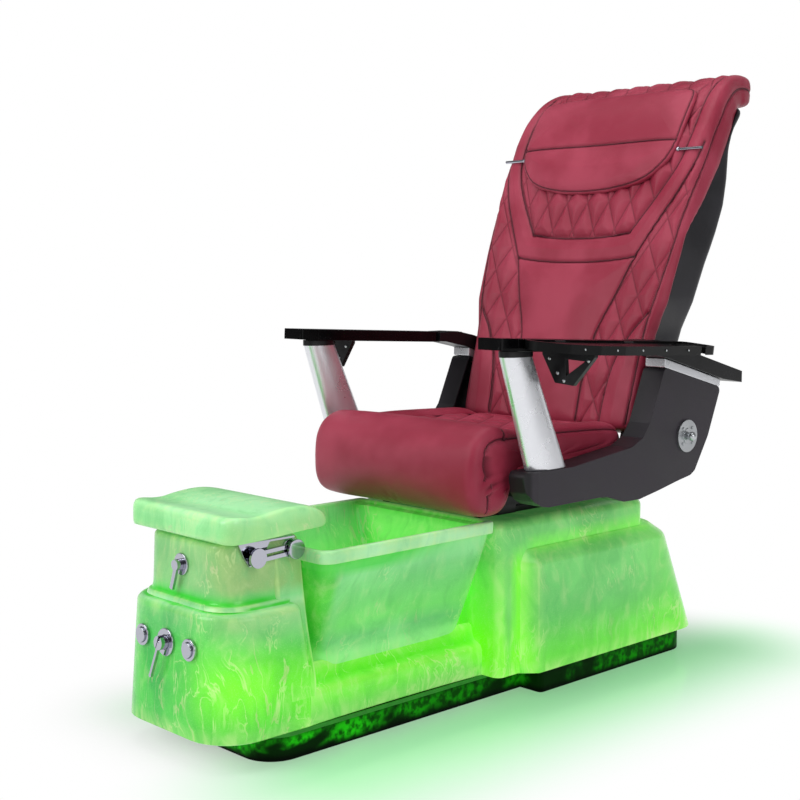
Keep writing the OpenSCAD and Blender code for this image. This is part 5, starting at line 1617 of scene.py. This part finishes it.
@dataclass
class SeatCushion:
    """Seat cushion: a plain front roll, a quilted well and side bolsters."""

    half: float = 262.0
    edge: float = 22.0
    profile: tuple[Pair, ...] = (
        (-58, 437.5), (-84, 440), (-106, 452), (-119, 476), (-124.5, 510), (-124, 548), (-117, 582), (-101, 608),
        (-76, 624), (-46, 630), (-18, 627), (8, 619), (34, 615), (70, 616), (120, 616), (200, 614), (290, 611),
        (350, 608), (382, 598), (396, 576), (398, 548), (394, 518), (380, 502), (340, 498), (240, 497.5),
        (140, 497.5), (60, 497.5), (12, 497), (-4, 488), (-12, 466), (-28, 444),
    )
    panel: tuple[float, ...] = (26, 36, 48)
    side_top: tuple[Triple, ...] = (
        (262, -22, 603), (261, 30, 603), (262, 95, 604), (262, 200, 603), (262, 300, 600), (260, 388, 592)
    )
    side_front: tuple[Triple, ...] = (
        (262, -22, 603), (262, -48, 602), (262, -70, 596), (262, -83, 582), (262, -86, 560), (262, -80, 530),
        (262, -73, 490), (261, -74, 455), (258, -78, 442),
    )
    shoulder: tuple[Triple, ...] = (
        (262, -22, 603), (258, -20, 614), (248, -19, 621), (232, -16, 624), (205, -10, 622), (175, -4, 619)
    )
    across: tuple[Triple, ...] = ((175, -4, 619), (120, 0, 616), (60, 2, 615), (0, 3, 615))
    bolster: tuple[Triple, ...] = (
        (205, -10, 622), (196, 20, 610), (192, 70, 606), (192, 180, 603), (192, 300, 600), (194, 372, 596)
    )

    def lower(self, x: float, y: float, z: float) -> float:
        """How far the top sinks into the quilted well at a point."""
        if z < 560:
            return 0.0
        along = smooth_step(y, -20, 45) * (1 - smooth_step(y, 360, 396))
        return 20 * (1 - smooth_step(abs(x), 168, 222)) * along

    def base(self) -> Piece:
        """Closed cover before it is stuffed, with chart coordinates."""
        ring = spline(self.profile, 6.5, closed=True)
        spine = np.array([(np.clip(y, -76, 350), 540 - max(0, -20 - max(y, -76)) * 0.2) for y, _ in ring])
        toward = spine - ring
        depth = np.linalg.norm(toward, axis=1)
        unit = toward / depth[:, None]
        r, inner = self.edge, self.half - self.edge
        turn = [(inner + r * math.sin(a), r * (1 - math.cos(a)), a < 1) for a in np.radians([18, 36, 54, 72, 90])]
        left = [(self.half, inset, False) for inset in self.panel[::-1]] + turn[::-1]
        steps = [(-x, inset, shown) for x, inset, shown in left]
        steps += [(float(x), 0, True) for x in np.linspace(-inner, inner, 81)] + left[::-1]
        rings, chart = [], []
        for k, (x, inset, shown) in enumerate(steps):
            flat = ring + unit * np.minimum(inset, depth - 1)[:, None]
            sinks = len(self.panel) <= k < len(steps) - len(self.panel)
            rings.append(np.array([(x, y, z - (self.lower(x, y, z) if sinks else 0)) for y, z in flat]))
            on_top = shown & (ring[:, 1] > 560)
            chart.append(np.column_stack([np.full(len(ring), x), np.where(on_top, ring[:, 0], OFF_CHART)]))
        return charted("seat_cushion_cover", rings, chart)

    def sewn(self) -> list[Seam]:
        """All seams of the cover."""
        lines = (
            (self.side_top, (4.5,)), (self.side_front, (-4.0, -8.0)), (self.shoulder, ()), (self.across, ()),
            (self.bolster, ()),
        )
        return [
            Seam(spline(points, 8) * np.array([side, 1, 1]), 3.6, 4.4, tuple(side * o for o in stitched))
            for side in (1, -1)
            for points, stitched in lines
        ]

    def make(self, chair: Chair) -> Piece:
        """Builds, stuffs and sews the cover in place of its CAD node."""
        obj = self.base()
        well = Quilt(76, 118, (0, 60), lambda u, v: ((np.abs(u) < 190) & (v > 4) & (v < 372)).astype(float), 6.5)
        cover = Upholstery("seat_cushion", obj, self.sewn(), [well], 4.0, 36.0)
        points = points_of(obj)
        under = ((points[:, 2] < 503) & (points[:, 1] > 2)).astype(float)
        cover.stuff(np.maximum(under, cover.by_seams()))
        chair.hang(obj, "seat_cushion", Finishes.LEATHER, "leather")
        cover.trim(chair, "seat")
        return obj


# ------------------------------------------------------- shells, arms, trays


@dataclass
class Posts:
    """Oval aluminium posts that carry the arms."""

    x: float = 319.0
    foot: tuple[float, ...] = (46.0, 538.0, 24.2, 60.0)
    top: tuple[float, ...] = (-53.0, 785.0, 22.0, 44.0)
    power: float = 0.86

    def ring(self, t: float, grow: float = 0.0, lift: float = 0.0) -> Ring:
        """Level oval section at a share of the height."""
        y, z, a, b = (low + (high - low) * t for low, high in zip(self.foot, self.top))
        turn = np.linspace(0, 2 * math.pi, 72, endpoint=False)
        x, along = (np.sign(wave) * np.abs(wave) ** self.power for wave in (np.cos(turn), np.sin(turn)))
        return np.column_stack([self.x + (a + grow) * x, y + (b + grow) * along, np.full(72, z + lift)])

    def make(self, chair: Chair) -> Piece:
        """Builds both posts in place of the CAD node."""
        walls = [self.ring(t) for t in np.linspace(0.02, 0.99, 14)]
        side = lofted([self.ring(0, -2), self.ring(0, 0, 1.5), *walls, self.ring(1, 0), self.ring(1, -2)])
        obj = mesh_object("arm_post_tubes", both_sides(side), 50)
        return chair.hang(obj, "arm_posts", Finishes.ALUMINIUM, "polished_aluminium")


@dataclass
class Bodywork:
    """Moulded shells, arms, trays and their metal trim."""

    rounded: tuple[tuple[str, Finishes, str, float], ...] = (
        ("side_shell_left", Finishes.SHELL, "shell_black", 5.0),
        ("side_shell_right", Finishes.SHELL, "shell_black", 5.0),
        ("arm_beam_left", Finishes.GLOSS, "gloss_black", 2.5),
        ("arm_beam_right", Finishes.GLOSS, "gloss_black", 2.5),
        ("arm_nose_left", Finishes.GLOSS, "gloss_black", 4.0),
        ("arm_nose_right", Finishes.GLOSS, "gloss_black", 4.0),
        ("tray_left", Finishes.TRAY, "gloss_black", 1.6),
        ("tray_right", Finishes.TRAY, "gloss_black", 1.6),
        ("arm_tails", Finishes.SATIN, "shell_black", 3.0),
        ("post_collars", Finishes.SATIN, "gloss_black", 1.5),
        ("tray_bracket_left", Finishes.SATIN, "gloss_black", 1.2),
        ("tray_bracket_right", Finishes.SATIN, "gloss_black", 1.2),
        ("trim_plates", Finishes.ALUMINIUM, "polished_aluminium", 2.0),
        ("purse_hooks", Finishes.STEEL, "steel", 1.2),
        ("pillow_bars", Finishes.CHROME, "chrome", 0.8),
        ("arm_supports", Finishes.POWDER, "frame_black", 1.5),
    )
    plain: tuple[tuple[str, Finishes], ...] = (
        ("seat_frame", Finishes.POWDER), ("slide_blocks", Finishes.SATIN), ("slide_drive", Finishes.SATIN),
        ("seat_pan", Finishes.SATIN), ("back_frame", Finishes.POWDER), ("back_board", Finishes.PLY),
        ("massage_carriage", Finishes.POWDER), ("massage_rollers", Finishes.WHITE),
    )

    def make(self, chair: Chair) -> list[Piece]:
        """Rounds the hard parts of the seat, back and arms."""
        made = [Posts().make(chair), *(chair.softened(*settings) for settings in self.rounded)]
        for shell in made[1:3]:
            across = np.abs(points_of(shell)[:, 0])
            point_values(shell, "flank", smooth_step(across, across.max() - 3, across.max() - 8))
        for node, finish in self.plain:
            chair.dress(node, finish)
        return made


def outer_edge(points: np.ndarray, side: int) -> np.ndarray:
    """Outer edge of a tray from front to rear: its points on the hull seen from above."""
    edge = []
    for p in points[np.argsort(points[:, 1])]:
        while len(edge) > 1:
            along, on = edge[-1] - edge[-2], p - edge[-2]
            if side * (along[1] * on[0] - along[0] * on[1]) < 0:
                break
            edge.pop()
        edge.append(p)
    return np.array(edge)


@dataclass
class Screws:
    """Zinc screw heads on the tray brackets and under the trays' outer edges."""

    bolts: tuple[Pair, ...] = ((372, 732), (354, 748), (330, 778), (436, 777))
    bolt_radius: float = 4.2
    slope: float = 0.0436
    tray_radius: float = 2.6
    pitch: float = 92.0

    def heads(self, name: str, spots: Sequence[Triple], facing: Triple, radius: float) -> Piece:
        """Screw heads at the given points, as one mesh."""

        def lay(tree: Tree, source: Sequence[Socket]) -> tuple[Socket, Socket, Socket]:
            height = add(tree, "Math.MULTIPLY", source["Radius"], 0.45)
            named = {"out": "Attribute", "data_type": "FLOAT_VECTOR"}
            return source["Geometry"], height, add(tree, "GeometryNodeInputNamedAttribute", {"Name": "facing"}, **named)

        mesh = plain_mesh(name, spots, [])
        away = mesh.attributes.new("facing", "FLOAT_VECTOR", "POINT")
        away.data.foreach_set("vector", np.tile(np.array(facing, float), len(spots)))
        obj = linked(name, mesh)
        run_nodes(obj, beads("screw_heads", {"Radius": 0.004}, (14, 8), lay), Finishes.STEEL, Radius=radius)
        apply_modifiers(obj)
        obj.data.shade_smooth()
        return obj

    def make(self, chair: Chair) -> list[Piece]:
        """Sets the screws on both sides."""
        made = []
        for side, hand in ((1, "left"), (-1, "right")):
            bolts = [(side * x, 40.9 + self.slope * (z - 722.3), z) for x, z in self.bolts]
            made.append(self.heads(f"bracket_screws_{hand}", bolts, (0, -1, -0.04), self.bolt_radius))
            chair.add(made[-1], chair.body_of(f"tray_bracket_{hand}"), Finishes.STEEL, "chrome")
            x, y, z = outer_edge(points_of(chair.frame["nodes"][f"tray_{hand}"]), side).T
            runs = np.arange(y.min() + 90, y.max() - 60, self.pitch)
            spots = np.column_stack([np.interp(runs, y, x) - side * 0.6, runs, np.interp(runs, y, z) - 9])
            made.append(self.heads(f"tray_screws_{hand}", spots, (side, 0, 0), self.tray_radius))
            chair.add(made[-1], chair.body_of(f"tray_{hand}"), Finishes.STEEL, "chrome")
        return made


# -------------------------------------------------------------------- studio


@dataclass
class Studio:
    """Plain white studio with soft light, and the camera."""

    camera_at: Triple = (2.2104, -2.1975, 0.9632)
    azimuth: float = 46.3
    fall: float = 5.4
    lens: float = 61.04
    lamps: tuple[tuple[str, Triple, Triple, float, float], ...] = (
        ("key", (-1.2, -3.8, 2.9), (0, 0, 0.7), 2.4, 85),
        ("fill", (3.6, -0.6, 2.2), (0, 0, 0.7), 2.2, 34),
        ("top", (0.2, -0.2, 3.8), (0, 0, 0.5), 2.8, 50),
    )

    def floor(self) -> None:
        """White floor that keeps the chair's shadow, has green light painted on near the chair, and fades out."""
        turn = np.linspace(0, 2 * math.pi, 96, endpoint=False)
        circle = np.column_stack([np.cos(turn), np.sin(turn), np.zeros(96)])
        obj = mesh_object("floor", lofted([circle * radius for radius in (200, 900, 2500, 9000)], (True, False)))
        for polygon in obj.data.polygons:
            if polygon.normal.z < 0:
                polygon.flip()
        made = bpy.data.materials.new("studio_floor")
        made.use_nodes = True
        tree = made.node_tree
        shader = tree.nodes["Principled BSDF"]
        across, along = (add(tree, "SeparateXYZ", place(tree), out=axis) for axis in "XY")
        total = 0.0
        for distance, half in ((across, 0.26), (add(tree, "Math.SUBTRACT", along, 0.1), 0.62)):
            beyond = add(tree, "Math.SUBTRACT", add(tree, "Math.ABSOLUTE", distance), half)
            beyond = add(tree, "Math.MAXIMUM", beyond, 0.0)
            total = add(tree, "Math.MULTIPLY_ADD", beyond, beyond, total)
        far = add(tree, "Math.SQRT", total)
        rays = add(tree, "LightPath").node.outputs
        seen = add(tree, "Math.MAXIMUM", rays["Is Camera Ray"], rays["Is Glossy Ray"])
        lit_side = add(tree, "MapRange", across, 0.0, 0.3)
        # painted green light on the chair's lit side, in the floor's white emission
        painted_green_light = add(tree, "Math.MULTIPLY", add(tree, "MapRange", far, 0.45, 0.0), lit_side)
        near = add(tree, "Mix", painted_green_light, (1, 1, 1, 1), linear("a8fab6"))
        # painted green light: the base colour is green-white near the chair
        base = add(tree, "Mix", add(tree, "MapRange", far, 0.0, 0.3), linear("c8f8d0"), linear("fbfbfb"))
        wire(tree, shader, Base_Color=base, Roughness=0.08)
        share = add(tree, "Math.MULTIPLY", seen, add(tree, "MapRange", far, 0.0, 0.36, 0.35, 1.0))
        blend = add(tree, "MixShader", share, shader.outputs[0], add(tree, "Emission", near, 1.0))
        tree.links.new(blend, tree.nodes["Material Output"].inputs["Surface"])
        obj.data.materials.append(made)

    def world(self) -> None:
        """White surroundings for the camera and for reflections, softer light for the rest."""
        world = bpy.data.worlds.new("studio")
        bpy.context.scene.world = world
        world.use_nodes = True
        tree = world.node_tree
        rays = add(tree, "LightPath").node.outputs
        seen = add(tree, "Math.MAXIMUM", rays["Is Camera Ray"], rays["Is Transmission Ray"])
        coords = add(tree, "TexCoord", out="Generated")
        x, y, z = (add(tree, "SeparateXYZ", coords, out=axis) for axis in "XYZ")
        height = add(tree, "MapRange", z, 0.0, 0.6, 1.0, 0.5)
        lobes = add(tree, "Math.SINE", add(tree, "Math.MULTIPLY_ADD", add(tree, "Math.ARCTAN2", y, x), 4.0, 1.2))
        sector = add(tree, "MapRange", lobes, -0.6, 0.6, 0.16, 0.9)
        shiny = add(tree, "Math.MULTIPLY", rays["Is Glossy Ray"], add(tree, "Math.MULTIPLY", height, sector))
        soft = add(tree, "Math.MULTIPLY", add(tree, "Math.SUBTRACT", 1.0, rays["Is Glossy Ray"]), 0.44)
        strength = add(tree, "Math.MAXIMUM", add(tree, "Math.MAXIMUM", seen, shiny), soft)
        wire(tree, tree.nodes["Background"], Color=(1, 1, 1, 1), Strength=strength)

    def lamp(self, name: str, at: Triple, to: Triple, size: float, watts: float) -> None:
        """One soft square lamp that points at a spot."""
        data = bpy.data.lights.new(name, "AREA")
        data.shape = "SQUARE"
        data.size = size
        data.energy = watts
        obj = linked(name, data)
        obj.location = at
        obj.rotation_euler = (Vector(to) - Vector(at)).to_track_quat("-Z", "Y").to_euler()

    def camera(self) -> None:
        """Camera at the chair's right front, a little below its middle."""
        data = bpy.data.cameras.new("view")
        data.lens = self.lens
        data.sensor_width = 36
        data.clip_end = 60
        obj = linked("view", data)
        obj.location = self.camera_at
        obj.rotation_euler = (math.radians(90 - self.fall), 0, math.radians(self.azimuth))
        bpy.context.scene.camera = obj

    def make(self) -> None:
        """Builds the studio."""
        bpy.context.scene.view_settings.view_transform = "Standard"
        self.camera()
        self.floor()
        self.world()
        for settings in self.lamps:
            self.lamp(*settings)


def main() -> None:
    """Builds the scene."""
    logging.basicConfig(level=logging.INFO, format="%(name)s: %(message)s")
    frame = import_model()
    chair = Chair(frame)
    Studio().make()
    line = BackLine()
    makers = (
        Plinth(), Tower(), Skirt(), Basin(), Housing(), Footrest(), Fittings(), Bodywork(), BackShell(line),
        BackCushion(line), HeadPillow(line), Screws(), SeatCushion(),
    )
    for maker in makers:
        made = maker.make(chair)
        for obj in made if isinstance(made, list) else [made]:
            log.info("%s: %d faces", obj.name, len(obj.data.polygons))


if __name__ == "__main__":
    main()
